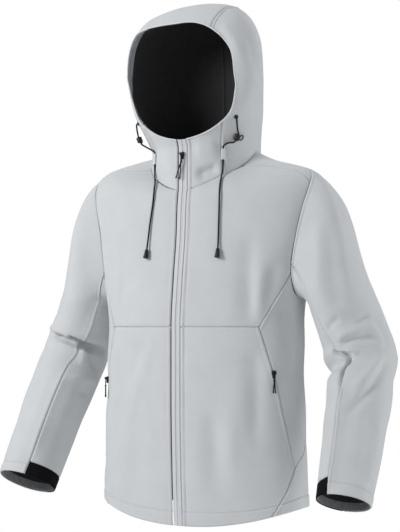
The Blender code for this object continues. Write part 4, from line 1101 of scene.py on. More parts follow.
SLEEVE_CREASES = {
    LEFT: (
        Crease(0.0110, 0.0042, ((114, 0.500), (105, 0.538), (93, 0.562), (80, 0.580)), 0.3),
        Crease(0.0100, 0.0040, ((84, 0.577), (93, 0.606), (101, 0.640), (101.5, 0.720))),
        Crease(-0.0040, 0.0060, ((108, 0.560), (99, 0.585), (90, 0.600))),
        Crease(-0.0036, 0.0060, ((92, 0.545), (82, 0.553), (72, 0.575))),
        Crease(0.0056, 0.0070, ((100, 0.512), (86, 0.488), (70, 0.477), (46, 0.486), (31, 0.516))),
        Crease(-0.0046, 0.0090, ((100, 0.468), (82, 0.448), (60, 0.444), (44, 0.452))),
        Crease(0.0060, 0.0095, (
            (93, 0.778), (72, 0.736), (51, 0.692), (28, 0.622), (15, 0.575),
        ), 0.2),
        Crease(-0.0050, 0.0100, ((84, 0.715), (62, 0.668), (42, 0.612), (27, 0.565))),
        Crease(0.0036, 0.0060, ((108, 0.404), (92, 0.390), (74, 0.376))),
        Crease(0.0030, 0.0060, ((58, 0.424), (40, 0.410), (25, 0.411))),
        Crease(0.0036, 0.0085, ((27, 0.405), (17, 0.450), (17, 0.510), (30, 0.560))),
        Crease(-0.0030, 0.0140, ((64, 0.060), (72, 0.130), (86, 0.210), (108, 0.320))),
        Crease(0.0034, 0.0150, ((47, 0.110), (55, 0.200), (68, 0.310), (74, 0.360))),
        Crease(-0.0024, 0.0120, ((30, 0.150), (38, 0.250), (46, 0.340))),
        Crease(0.0056, 0.0190, ((50, 0.690), (36, 0.770), (36, 0.850), (44, 0.930))),
        Crease(-0.0030, 0.0100, ((119, 0.120), (122, 0.250), (117, 0.390), (109, 0.480))),
        Crease(-0.0072, 0.0115, ((101, 0.650), (101, 0.760), (102.5, 0.880), (106, 1.050))),
        Crease(0.0034, 0.0110, ((330, 0.330), (300, 0.400), (280, 0.430))),
        Crease(0.0032, 0.0120, ((350, 0.600), (318, 0.650), (290, 0.670))),
        Crease(-0.0030, 0.0120, ((345, 0.540), (310, 0.580), (280, 0.590))),
        Crease(0.0040, 0.0120, ((262, 0.180), (250, 0.290), (242, 0.380))),
        Crease(0.0044, 0.0090, ((150, 0.510), (185, 0.500), (215, 0.480))),
        Crease(0.0040, 0.0100, ((140, 0.590), (178, 0.600), (205, 0.630))),
    ),
    RIGHT: (
        Crease(-0.0046, 0.0060, ((25, 0.505), (45, 0.490), (66, 0.480), (92, 0.476))),
        Crease(0.0200, 0.0033, ((66, 0.510), (80, 0.514), (104, 0.516), (128, 0.522)), 0.2),
        Crease(0.0180, 0.0031, ((98, 0.466), (112, 0.472), (134, 0.486))),
        Crease(-0.0040, 0.0036, ((82, 0.498), (104, 0.493), (124, 0.500))),
        Crease(0.0170, 0.0062, ((116, 0.510), (138, 0.520), (160, 0.524), (198, 0.516)), 0.2),
        Crease(0.0026, 0.0065, ((62, 0.630), (70, 0.590), (82, 0.560), (98, 0.548))),
        Crease(-0.0044, 0.0085, ((132, 0.556), (142, 0.590), (147, 0.650))),
        Crease(0.0060, 0.0100, ((142, 0.556), (158, 0.590), (185, 0.630), (214, 0.656)), 0.2),
        Crease(-0.0032, 0.0085, ((118, 0.700), (145, 0.684), (172, 0.670), (200, 0.664))),
        Crease(0.0034, 0.0110, ((150, 0.720), (178, 0.704), (205, 0.700))),
        Crease(-0.0036, 0.0100, ((140, 0.190), (139, 0.290), (134, 0.390), (129, 0.470))),
        Crease(-0.0036, 0.0100, ((127, 0.640), (122, 0.720), (120, 0.830), (118, 0.960))),
        Crease(0.0030, 0.0140, ((160, 0.230), (158, 0.320), (150, 0.400))),
        Crease(0.0024, 0.0160, ((85, 0.660), (80, 0.770), (84, 0.880))),
        Crease(0.0034, 0.0110, ((325, 0.340), (300, 0.405), (276, 0.440))),
        Crease(0.0034, 0.0120, ((352, 0.580), (316, 0.640), (286, 0.660))),
        Crease(-0.0032, 0.0120, ((340, 0.530), (306, 0.575), (278, 0.588))),
        Crease(0.0040, 0.0120, ((266, 0.170), (252, 0.280), (240, 0.390))),
    ),
}
HOOD_CREASES = (
    Crease(-0.0036, 0.010, (
        (0.075, -0.080, 0.236), (0.098, -0.078, 0.200), (0.112, -0.070, 0.150),
    )),
    Crease(0.0040, 0.010, ((0.088, -0.062, 0.236), (0.112, -0.058, 0.190), (0.120, -0.055, 0.130))),
    Crease(-0.0036, 0.012, (
        (0.100, -0.040, 0.236), (0.124, -0.038, 0.170), (0.122, -0.034, 0.080),
    )),
    Crease(0.0042, 0.012, ((0.118, -0.012, 0.210), (0.132, -0.012, 0.140), (0.120, -0.012, 0.060))),
    Crease(0.0075, 0.010, (
        (0.024, -0.086, -0.047), (0.038, -0.083, -0.038),
        (0.053, -0.075, -0.028), (0.066, -0.066, -0.020),
    ), 0.3),
    Crease(-0.0045, 0.018, (
        (0.020, -0.088, 0.002), (0.045, -0.080, 0.008), (0.066, -0.068, 0.014),
    )),
    Crease(0.0030, 0.014, ((0.085, 0.060, 0.200), (0.098, 0.055, 0.120), (0.092, 0.050, 0.040))),
    Crease(-0.0026, 0.014, ((0.110, 0.030, 0.180), (0.118, 0.028, 0.110), (0.108, 0.026, 0.040))),
    Crease(0.0030, 0.013, ((0.020, 0.085, 0.112), (0.050, 0.080, 0.094), (0.075, 0.066, 0.090))),
)


# Finishes

WEAVE_PITCH = 0.0011
RIB_PITCH = 0.0022
YARN_PITCH = 0.0016
TAPE_RIB_PITCH = 0.0011
PLY_PITCH = 0.0006
FLOOR_COLOUR = (0.80, 0.80, 0.80)


class Wire:
    """A socket of a finish. Sums, differences and products of wires add Math nodes."""

    def __init__(self, finish, socket):
        self.finish = finish
        self.socket = socket

    def sum_with(self, other):
        return self.finish.add("ShaderNodeMath", {"operation": "ADD"}, {0: self, 1: other})

    def less(self, first, second):
        return self.finish.add("ShaderNodeMath", {"operation": "SUBTRACT"}, {0: first, 1: second})

    def times(self, other):
        return self.finish.add("ShaderNodeMath", {"operation": "MULTIPLY"}, {0: self, 1: other})

    __add__ = __radd__ = sum_with
    __mul__ = __rmul__ = times

    def __sub__(self, other):
        return self.less(self, other)

    def __rsub__(self, other):
        return self.less(other, self)


class Finish:
    """A material whose nodes are added one by one."""

    def __init__(self, name, constants):
        self.material = bpy.data.materials.new(name)
        self.material.use_nodes = True
        self.tree = self.material.node_tree
        self.shader = self.tree.nodes["Principled BSDF"]
        for socket, value in constants.items():
            self.shader.inputs[socket].default_value = value

    def add(self, kind, settings=None, sockets=None, output=0):
        node = self.tree.nodes.new(kind)
        for name, value in (settings or {}).items():
            if name == "stops":
                for stop, (place, shade) in zip(node.color_ramp.elements, value):
                    stop.position = place
                    stop.color = (*shade, 1.0)
            else:
                setattr(node, name, value)
        for name, value in (sockets or {}).items():
            if isinstance(value, Wire):
                self.tree.links.new(value.socket, node.inputs[name])
            else:
                node.inputs[name].default_value = value
        return Wire(self, node.outputs[output])

    def feed(self, socket, wire):
        self.tree.links.new(wire.socket, self.shader.inputs[socket])

    def on_object(self):
        return self.add("ShaderNodeTexCoord", output=3)

    def on_cloth(self):
        return self.add("ShaderNodeUVMap", {"uv_map": CLOTH_MAP})

    def noise(self, scale, detail):
        sockets = {"Vector": self.on_object(), "Scale": scale, "Detail": detail}
        return self.add("ShaderNodeTexNoise", sockets=sockets)

    def wave(self, where, pitch, direction):
        sockets = {"Vector": where, "Scale": 2 * math.pi / (20 * pitch)}
        return self.add("ShaderNodeTexWave", {"bands_direction": direction}, sockets, output=1)

    def coloured(self, colour, pattern, dark, light, roughness):
        """The material, with a pattern of darker and lighter shares of a colour."""
        stops = (0.0, scaled(colour, dark)), (1.0, scaled(colour, light))
        self.feed("Base Color", self.add("ShaderNodeValToRGB", {"stops": stops}, {"Fac": pattern}))
        self.feed("Roughness", roughness)
        return self.material

    def bump(self, height, strength, distance):
        raised = {"Height": height, "Strength": strength, "Distance": distance}
        self.feed("Normal", self.add("ShaderNodeBump", sockets=raised))


def scaled(colour, share):
    return tuple(min(1.0, c * share) for c in colour)


def shell_cloth():
    """Softshell: a close plain weave, faintly mottled, with a soft dull sheen."""
    made = Finish("softshell_cloth", {
        "Sheen Weight": 0.10, "Sheen Roughness": 0.45, "Specular IOR Level": 0.28,
    })
    mottle, slubs = made.noise(26.0, 4.0), made.noise(620.0, 2.0)
    warp, weft = (made.wave(made.on_cloth(), WEAVE_PITCH, way) for way in "XY")
    made.bump(warp * weft * 0.6 + slubs * 0.5, 0.16, 0.0004)
    colour = bpy.context.scene.jacket_colours.cloth
    return made.coloured(colour, mottle * 0.55 + slubs * 0.45, 0.90, 1.08, mottle * 0.14 + 0.72)


def fleece():
    """Brushed fleece: a soft dark pile in small tufts."""
    made = Finish("brushed_fleece", {
        "Sheen Weight": 0.22, "Sheen Roughness": 0.6, "Specular IOR Level": 0.15,
    })
    tufts, brushed = made.noise(420.0, 4.0), made.noise(60.0, 3.0)
    made.bump(tufts + brushed * 0.4, 0.7, 0.0012)
    colour = bpy.context.scene.jacket_colours.fleece
    return made.coloured(colour, tufts * 0.6 + brushed * 0.4, 0.45, 1.7, brushed * 0.1 + 0.88)


def cuff_pile():
    """Pile inside the cuffs: longer, greyer tufts that catch the light."""
    made = Finish("cuff_pile", {
        "Sheen Weight": 0.3, "Sheen Roughness": 0.5, "Specular IOR Level": 0.15,
    })
    tufts, strands = made.noise(260.0, 4.0), made.noise(900.0, 2.0)
    made.bump(tufts + strands * 0.4, 0.8, 0.0016)
    colour = bpy.context.scene.jacket_colours.pile
    return made.coloured(colour, tufts * 0.7 + strands * 0.3, 0.25, 1.9, tufts * 0.1 + 0.86)


def rib_knit():
    """Cuff binding: black stretch knit with fine upright ribs."""
    made = Finish("rib_knit", {"Specular IOR Level": 0.06})
    ribs, fuzz = made.wave(made.on_cloth(), RIB_PITCH, "X"), made.noise(900.0, 2.0)
    made.bump(ribs + fuzz * 0.3, 0.5, 0.0006)
    colour = bpy.context.scene.jacket_colours.trim
    return made.coloured(colour, ribs * 0.6 + fuzz * 0.4, 0.6, 1.8, fuzz * 0.1 + 0.84)


def moulded():
    """Moulded nylon: satin black with a fine grain."""
    made = Finish("moulded_nylon", {"Specular IOR Level": 0.4})
    grain, rubbed = made.noise(1500.0, 2.0), made.noise(240.0, 3.0)
    made.bump(grain, 0.2, 0.0002)
    colour = bpy.context.scene.jacket_colours.trim
    return made.coloured(colour, rubbed, 0.7, 1.6, rubbed * 0.16 + 0.38)


def braid():
    """Braided cord: black yarns that cross on the slant."""
    made = Finish("braided_cord", {"Sheen Weight": 0.15, "Specular IOR Level": 0.22})
    yarns = made.wave(made.on_object(), YARN_PITCH, "DIAGONAL")
    fuzz = made.noise(1100.0, 2.0)
    made.bump(yarns + fuzz * 0.4, 0.6, 0.0004)
    colour = bpy.context.scene.jacket_colours.trim
    return made.coloured(colour, yarns * 0.7 + fuzz * 0.3, 0.6, 2.0, yarns * 0.12 + 0.70)


def zip_tape():
    """Zip tape: a close ribbed tape, a little paler and smoother than the cloth."""
    made = Finish("zip_tape", {"Specular IOR Level": 0.3})
    ribs, fuzz = made.wave(made.on_cloth(), TAPE_RIB_PITCH, "Y"), made.noise(700.0, 2.0)
    made.bump(ribs + fuzz * 0.3, 0.35, 0.0004)
    colour = bpy.context.scene.jacket_colours.tape
    return made.coloured(colour, ribs * 0.5 + fuzz * 0.5, 0.92, 1.06, fuzz * 0.12 + 0.62)


def thread():
    """Sewing thread: the cloth's own grey, twisted and slightly lustrous."""
    made = Finish("sewing_thread", {"Specular IOR Level": 0.35})
    ply = made.wave(made.on_object(), PLY_PITCH, "DIAGONAL")
    made.bump(ply, 0.3, 0.0002)
    colour = bpy.context.scene.jacket_colours.thread
    return made.coloured(colour, ply, 0.85, 1.05, ply * 0.15 + 0.5)


def pale_floor():
    """The floor: a plain pale grey, very faintly clouded."""
    made = Finish("pale_floor", {"Specular IOR Level": 0.2})
    cloud = made.noise(3.0, 2.0)
    return made.coloured(FLOOR_COLOUR, cloud, 1.0, 1.05, cloud * 0.1 + 0.8)


made_finishes = {}


def finish(maker):
    """A finish, made once."""
    if maker not in made_finishes:
        made_finishes[maker] = maker()
    return made_finishes[maker]


# The panels

SHELL_WALL = 0.0018
LINING_WALL = 0.0012
LINING_GAP = 0.0006
LINING_SETBACK = 0.0015
FACING = 0.034
# How far in from the cuff's mouth the lining turns black: painted shade inside the sleeve
PAINTED_SHADE_FROM_MOUTH = 0.016
SLEEVE_SPACING = 0.0035
ELBOW_ROWS = (0.44, 0.67, 0.0020)
CUFF_ROWS = (0.945, 0.985, 0.0022)
LOWER_FRONT_HEIGHT = 0.355
LOWER_BACK_HEIGHT = 0.56
LINING_MERGE = 0.0004


def cloth_shell(node, net, side, seams, creases):
    lined = [finish(shell_cloth), finish(fleece)]
    add_shell(node, net, side, seams, creases, lined, SHELL_WALL)


def body_creases(side):
    return [(crease, torso(np.array(crease.places)) * (side, 1, 1)) for crease in BODY_CREASES]


def sleeve_creases(side):
    return [(crease, sleeve(side, np.array(crease.places))) for crease in SLEEVE_CREASES[side]]


def hood_creases(side):
    return [(crease, on_hood(np.array(crease.places)) * (side, 1, 1)) for crease in HOOD_CREASES]


def make_fronts(seams):
    for label, side in SIDES:
        upper = Net(
            torso,
            bottom=Edge(seams["chest"]),
            right=Edge(seams["diagonal"], seams["arm_front"].back()),
            top=Edge(seams["neck_collar"], seams["neck_front"], seams["yoke"]),
            left=Edge(seams["upper_zip"]),
        ).press(TORSO_FOLDS, side)
        cloth_shell(f"front_upper_{label}", upper, side, {
            "bottom": [LAPPED], "right": [SEWN, ARM_EDGE],
            "top": [NECK_SEAM, NECK_SEAM, SEWN], "left": [ZIP_EDGE],
        }, body_creases(side))
        lower = Net(
            torso, closer_rows=[hem_rows(LOWER_FRONT_HEIGHT)],
            bottom=Edge(seams["front_hem"]),
            right=Edge(seams["hem_seam"].back(), seams["pocket"].back()),
            top=Edge(seams["chest"]),
            left=Edge(seams["lower_zip"]),
        ).press(TORSO_FOLDS, side)
        cloth_shell(f"front_lower_{label}", lower, side, {
            "bottom": [HEMMED], "right": [SEWN, LAPPED], "top": [SEWN], "left": [ZIP_EDGE],
        }, body_creases(side))


def make_sides(seams):
    for label, side in SIDES:
        net = Net(
            torso,
            bottom=Edge(seams["tip"]),
            right=Edge(seams["side"].back()),
            top=Edge(seams["arm_under"]),
            left=Edge(seams["pocket"].back(), seams["diagonal"]),
        ).press(TORSO_FOLDS, side)
        cloth_shell(f"side_{label}", net, side, {
            "right": [SEWN], "top": [ARM_EDGE], "left": [SEWN, LAPPED],
        }, body_creases(side))


def make_back(seams):
    left_up = Edge(seams["hem_seam"].back(), seams["tip"], seams["side"].back(), seams["arm_back"])
    blade = seams["arm_back"].places[-1]
    turns = between(blade[0], BLADE_TURN), between(BLADE_TURN, 360 - BLADE_TURN)
    outer = Run(pairs(turns[0], blade[1]), 3)
    blades = Edge(outer, Run(pairs(turns[1], blade[1]), 18), outer.mirrored().back())
    half_top = seams["yoke"].back(), seams["neck_side"]
    top = Edge(*half_top, seams["neck_nape"], *(run.mirrored().back() for run in half_top[::-1]))
    columns = graded((Edge(seams["back_hem"]), blades, top))
    lower = Net(
        torso, columns=columns, closer_rows=[hem_rows(LOWER_BACK_HEIGHT)],
        bottom=Edge(seams["back_hem"]), right=left_up.mirrored(), top=blades, left=left_up,
    ).press(TORSO_FOLDS, LEFT)
    over = in_space(seams["arm_top"])
    upper = Net(
        on_shoulder, columns=columns,
        bottom=Edge(*(in_space(run) for run in blades.runs)),
        right=Edge(over.mirrored()),
        top=Edge(*(in_space(run) for run in top.runs)),
        left=Edge(over),
    )
    arms_up = [LAPPED, SEWN, LAPPED, ARM_EDGE, ARM_EDGE]
    cloth_shell("back", lower.on_top(upper), LEFT, {
        "bottom": [HEMMED], "left": arms_up, "right": arms_up,
        "top": [LAPPED, NECK_SEAM, NECK_SEAM, NECK_SEAM, LAPPED],
    }, body_creases(LEFT))


def sleeve_net(side, start, end, low, high):
    """A sleeve panel from one ring to another, between two seams given by their angles."""
    def spot(places):
        return sleeve(side, places)

    along = between(low, high)

    def ring(at):
        return Run(pairs(between(start(at), end(at)), at), 1, spot)

    def seam(angle):
        return Run(pairs(angle(along), along), 1, spot)

    elbow = (np.arange(*ELBOW_ROWS) - low) / (high - low)
    cuff = np.arange(*CUFF_ROWS) if high - low == 1 else ()
    return Net(
        spot, SLEEVE_SPACING, closer_rows=[elbow[(elbow > 0) & (elbow < 1)], cuff],
        bottom=Edge(ring(low)), right=Edge(seam(end)), top=Edge(ring(high)), left=Edge(seam(start)),
    ).press(SLEEVE_FOLDS[side], 1)


def painted_shade_in_cuff(net):
    """Where a cuff's lining lies further in than the pile at its mouth. There it is black fleece,
    painted shade inside the sleeve.
    """
    up = gaps_along(net.points, 0)
    return up[-1:] - up > PAINTED_SHADE_FROM_MOUTH


def make_sleeves():
    for label, side in SIDES:
        band, lined = cuff_along(side, CUFF_BAND), cuff_along(side, CUFF_LINING)
        front = front_seams[side]

        def rear(along):
            return SLEEVE_BACK_SEAM + 0 * along

        def round_front(along):
            return front(along) + 360

        outer = sleeve_net(side, rear, round_front, 0.0, 1.0)
        cloth_shell(f"sleeve_outer_{label}", outer, side, {
            "bottom": [ARM_SEAM], "right": [LAPPED], "left": [LAPPED], "top": [CUFF_HEM],
        }, sleeve_creases(side))
        under = sleeve_net(side, front, rear, 0.0, band)
        cloth_shell(f"sleeve_under_{label}", under, side, {
            "bottom": [ARM_SEAM], "right": [SEWN], "left": [SEWN], "top": [SEWN],
        }, sleeve_creases(side))
        cuff = sleeve_net(side, front, rear, band, 1.0)
        add_shell(
            f"cuff_band_{label}", cuff, side,
            {"bottom": [SEWN], "top": [FOLDED], "left": [SEWN], "right": [SEWN]},
            sleeve_creases(side), [finish(rib_knit), finish(fleece)], SHELL_WALL,
        )
        lining = sleeve_net(side, front, round_front, lined, cuff_along(side, LINING_SETBACK))
        lining.depth = lining.depth + SHELL_WALL + LINING_GAP
        # The cuff's lining is grey pile at its mouth and black fleece further in; the black is
        # painted shade inside the sleeve
        add_shell(
            f"cuff_lining_{label}", lining, side, {}, sleeve_creases(side),
            [finish(cuff_pile), finish(fleece)], LINING_WALL,
            faces_on_side(painted_shade_in_cuff(lining), side),
        )


def hood_nets(runs):
    """The front collar and the hood's side, in left-hand space."""
    collar = Net(
        on_hood,
        bottom=Edge(runs["neck_collar"]), right=Edge(runs["seam"]),
        top=Edge(runs["chin"]), left=Edge(runs["zip"]),
    )
    flank = Net(
        on_hood,
        bottom=Edge(runs["neck_front"], runs["neck_side"]),
        right=Edge(runs["band_back"].back()),
        top=Edge(runs["band_front"]),
        left=Edge(runs["seam"], runs["face"]),
    )
    return collar, flank


def crown_net(runs):
    """The hood's middle panel, from the brow over the head to the nape."""
    left, right = runs[LEFT], runs[RIGHT]
    return Net(
        on_hood,
        bottom=Edge(right["brow"].mirrored().back(), left["brow"]), right=Edge(left["band"]),
        top=Edge(left["neck_nape"].back()), left=Edge(right["band"].mirrored()),
    )


def make_hood(runs):
    for label, side in SIDES:
        collar, flank = hood_nets(runs[side])
        cloth_shell(f"collar_{label}", collar, side, {
            "bottom": [NECK_SEAM], "right": [SEWN], "top": [FOLDED], "left": [ZIP_EDGE],
        }, hood_creases(side))
        cloth_shell(f"hood_side_{label}", flank, side, {
            "bottom": [NECK_SEAM, NECK_SEAM], "right": [LAPPED],
            "top": [LAPPED if side == LEFT else FOLDED], "left": [LAPPED, FOLDED],
        }, hood_creases(side))
    cloth_shell("hood_centre", crown_net(runs), LEFT, {
        "bottom": [FOLDED, FOLDED], "right": [SEWN], "top": [NECK_SEAM], "left": [FOLDED],
    }, hood_creases(LEFT))


def half_crown(runs):
    """Half of the hood's middle panel, in left-hand space."""
    middle = point_run(hood_slice(np.zeros(FINE), between(*crown_turns(runs))), 20)
    nape = runs["neck_nape"].back().part(0.0, 0.5, 3)
    return Net(
        on_hood,
        bottom=Edge(runs["brow"]), right=Edge(runs["band"]),
        top=Edge(nape.back()), left=Edge(middle),
    )


def crown_turns(runs):
    """Directions of the crown's middle line at the brow and at the nape."""
    for spot in (runs["brow"].places[0], runs["neck_nape"].at([0.5])[0]):
        _, forward, up = spot - HOOD_MIDDLE
        yield math.degrees(math.atan2(up, -forward)) % 360


def facing(net):
    """Where the hood's lining is faced with the shell's cloth, beside the face edge."""
    at_face = net.edges["left"].which(net.rows) == 1
    return (gaps_along(net.points, 1) < FACING) & at_face[:, None]


def make_lining(runs):
    """The hood's fleece lining: its side and half its crown, joined at the band's seam."""
    for label, side in SIDES:
        flank, crown = hood_nets(runs[side])[1], half_crown(runs[side])
        sheet = bmesh.new()
        cuts = []
        for net, seams, second in ((flank, {}, facing(flank)), (crown, {"left": [SEWN]}, None)):
            net.depth = net.depth + SHELL_WALL + LINING_GAP
            points = worn(dressed(net, side, seams, hood_creases(side)), side)
            add_cloth(sheet, points, None if second is None else faces_on_side(second, side))
            cuts.append(cut_size(points))
        bmesh.ops.remove_doubles(sheet, verts=sheet.verts, dist=LINING_MERGE)
        node = f"hood_lining_{label}"
        piece = add_piece(f"{node}_shell", sheet, [finish(fleece), finish(shell_cloth)])
        add_wall(piece, LINING_WALL, False)
        widths, lengths, areas = zip(*cuts)
        width, length = sum(widths), max(lengths)
        area = max(sum(areas), LEAST_CUT * width * length)
        stand_in(piece, node)


# Hard pieces

TRIM_BEVEL = 0.0004


def rounded(sheet, edges, bevel):
    bmesh.ops.bevel(
        sheet, geom=list(edges), offset=bevel, segments=3, profile=0.5, affect="EDGES", material=-1,
    )


def bevelled_box(sheet, size, place, bevel=TRIM_BEVEL):
    """A box with rounded edges, in the middle of its place."""
    made = bmesh.ops.create_cube(sheet, size=1, matrix=place @ Matrix.Diagonal((*size, 1)))
    rounded(sheet, {edge for vert in made["verts"] for edge in vert.link_edges}, bevel)


def bevelled_rod(sheet, radius, length, place, low_radius=None, bevel=TRIM_BEVEL):
    """A rod or a cone with rounded rims, from its place downwards."""
    low = radius if low_radius is None else low_radius
    made = bmesh.ops.create_cone(
        sheet, cap_ends=True, segments=20, radius1=low, radius2=radius, depth=length,
        matrix=place @ Matrix.Translation((0, 0, -length / 2)),
    )
    edges = {edge for vert in made["verts"] for edge in vert.link_edges}
    rims = [edge for edge in edges if any(len(facet.verts) > 4 for facet in edge.link_faces)]
    rounded(sheet, rims, bevel)


def wire_ring(sheet, radius, wire, place):
    """A round ring of wire about its place's z axis."""
    loop = bmesh.new()
    standing = Matrix.Translation((radius, 0, 0)) @ Matrix.Rotation(math.pi / 2, 4, "X")
    bmesh.ops.create_circle(loop, cap_ends=False, radius=wire, segments=10, matrix=standing)
    bmesh.ops.spin(
        loop, geom=loop.verts[:] + loop.edges[:], cent=(0, 0, 0), axis=(0, 0, 1),
        angle=2 * math.pi, steps=28, use_merge=True,
    )
    bmesh.ops.remove_doubles(loop, verts=loop.verts, dist=1e-6)
    bmesh.ops.recalc_face_normals(loop, faces=loop.faces)
    add_to(sheet, loop, place)


def add_to(sheet, other, place):
    """Adds a finished shape to a sheet at its place."""
    bmesh.ops.transform(other, matrix=place, verts=other.verts)
    carried = bpy.data.meshes.new("carried")
    other.to_mesh(carried)
    other.free()
    sheet.from_mesh(carried)
    bpy.data.meshes.remove(carried)


def trim_piece(name, sheet, node, maker, body="jacket"):
    return stand_in(add_piece(name, sheet, [finish(maker)]), node, body)


def way_out(field, spot):
    """The unit way out of a form at a point."""
    steps = np.eye(3) * 1e-5
    return Vector(unit(field(spot + steps) - field(spot - steps)))


def surface_frame(spot, way):
    """Axes on a surface: x level along it, -y out of it and z up it."""
    across = (-way).cross(Vector((0, 0, 1))).normalized()
    made = Matrix((across, -way, across.cross(-way))).transposed().to_4x4()
    made.translation = spot
    return made


def line_frame(start, end):
    """A frame at start whose -z axis points to end."""
    made = (start - end).to_track_quat("Z", "Y").to_matrix().to_4x4()
    made.translation = start
    return made


def shifted(x, y, z):
    return Matrix.Translation((x, y, z))


# Drawcords, in the solids' routes: out of the eyelet, through the lock and the tab, and down

EYELET = (0.1056, -0.0734, 0.0624)
EYELET_RADIUS = 0.0032
EYELET_WIRE = 0.0008
EYELET_INNER_SHARES = (0.72, 0.7)
EYELET_INNER_DROP = 0.0004
LOCK_RADIUS = 0.0052
LOCK_GAP = 0.0009
LOCK_BEVEL = 0.0010
LOCK_COLLAR = 0.0010
LOCK_COLLAR_DROPS = (0.0012, 0.0022)
LOCK_RING = 0.0048
LOCK_RING_WIRE = 0.0011
LOCK_RING_Y = -0.0016
COLLAR_PROUD = 0.0003
COLLAR_BEVEL = 0.0003
CORD_TAB = (0.0731, -0.0641, -0.0023)
CORD_TAB_SIZE = (0.0076, 0.0036, 0.0200)
CORD_TAB_BEVEL = 0.0009
CORD_TAB_BAR = (CORD_TAB_SIZE[0] * 0.9, 0.0008, 0.0011)
CORD_TAB_BAR_AT = 0.34
CORD_TAB_BAR_BEVEL = 0.0003
CORD_END = 0.0170
CORD_END_WAY = (0.0004, -0.0040, -CORD_END)
CORD_END_RADII = (0.0030, 0.0049)
CORD_END_BEVEL = 0.0008
# The rims at the bell's neck and mouth: how far down they start and how high they are
CORD_END_RIMS = ((0.0010, 0.0016), (CORD_END - 0.0024, 0.0014))
SEAM_GAP = 0.0003
CORD_UPPER = {
    LEFT: (
        (0.1060, -0.0738, 0.0622), (0.1077, -0.0752, 0.0612), (0.1083, -0.0757, 0.0589),
        (0.1078, -0.0746, 0.0552), (0.1062, -0.0705, 0.0480), (0.1046, -0.0655, 0.0400),
        (0.1033, -0.0605, 0.0327),
    ),
    RIGHT: (
        (0.1060, -0.0738, 0.0622), (0.1077, -0.0752, 0.0612), (0.1085, -0.0757, 0.0586),
        (0.1090, -0.0745, 0.0540), (0.1094, -0.0722, 0.0475), (0.1097, -0.0696, 0.0420),
        (0.1095, -0.0679, 0.0371),
    ),
}
CORD_MIDDLE = {
    LEFT: (
        (0.0963, -0.0586, 0.0218), (0.0948, -0.0590, 0.0196), (0.0915, -0.0606, 0.0184),
        (0.0873, -0.0626, 0.0182), (0.0826, -0.0641, 0.0170), (0.0784, -0.0652, 0.0148),
        (0.0754, -0.0658, 0.0124), (0.0744, -0.0658, 0.0103), (0.0743, -0.0658, 0.0081),
    ),
    RIGHT: (
        (0.1046, -0.0673, 0.0274), (0.1035, -0.0672, 0.0251), (0.1000, -0.0672, 0.0228),
        (0.0950, -0.0674, 0.0208), (0.0900, -0.0674, 0.0186), (0.0850, -0.0668, 0.0164),
        (0.0800, -0.0662, 0.0140), (0.0760, -0.0659, 0.0119), (0.0745, -0.0658, 0.0102),
        (0.0743, -0.0658, 0.0081),
    ),
}
CORD_HANGING = {
    LEFT: (
        (0.0743, -0.0658, -0.0126), (0.0743, -0.0660, -0.0200), (0.0743, -0.0672, -0.0285),
        (0.0746, -0.0706, -0.0385), (0.0760, -0.0772, -0.0492), (0.0784, -0.0848, -0.0610),
        (0.0797, -0.0890, -0.0752), (0.0802, -0.0908, -0.0922), (0.0803, -0.0919, -0.1103),
        (0.0802, -0.0930, -0.1307), (0.0804, -0.0944, -0.1522), (0.0808, -0.0961, -0.1677),
        (0.0812, -0.0978, -0.1772),
    ),
    RIGHT: (
        (0.0743, -0.0658, -0.0126), (0.0740, -0.0660, -0.0200), (0.0730, -0.0674, -0.0285),
        (0.0705, -0.0708, -0.0385), (0.0665, -0.0768, -0.0485), (0.0630, -0.0846, -0.0590),
        (0.0613, -0.0893, -0.0703), (0.0618, -0.0915, -0.0873), (0.0642, -0.0929, -0.1067),
        (0.0670, -0.0939, -0.1271), (0.0694, -0.0951, -0.1498), (0.0705, -0.0967, -0.1641),
        (0.0709, -0.0986, -0.1748),
    ),
}


def on_side(side, points):
    return [Vector(p) for p in posed(np.array(points) * (side, 1, 1))]


def smooth_curve(name, points, radius, maker):
    """A round line along a smooth curve through points."""
    curve = bpy.data.curves.new(name, "CURVE")
    curve.dimensions = "3D"
    curve.bevel_depth = radius
    curve.bevel_resolution = 3
    curve.resolution_u = 6
    curve.use_fill_caps = True
    spline = curve.splines.new("BEZIER")
    spline.bezier_points.add(len(points) - 1)
    for knot, point in zip(spline.bezier_points, points):
        knot.co = point
        knot.handle_left_type = knot.handle_right_type = "AUTO"
    curve.materials.append(finish(maker))
    piece = bpy.data.objects.new(name, curve)
    bpy.context.scene.collection.objects.link(piece)
    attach(piece, "jacket")
    return piece


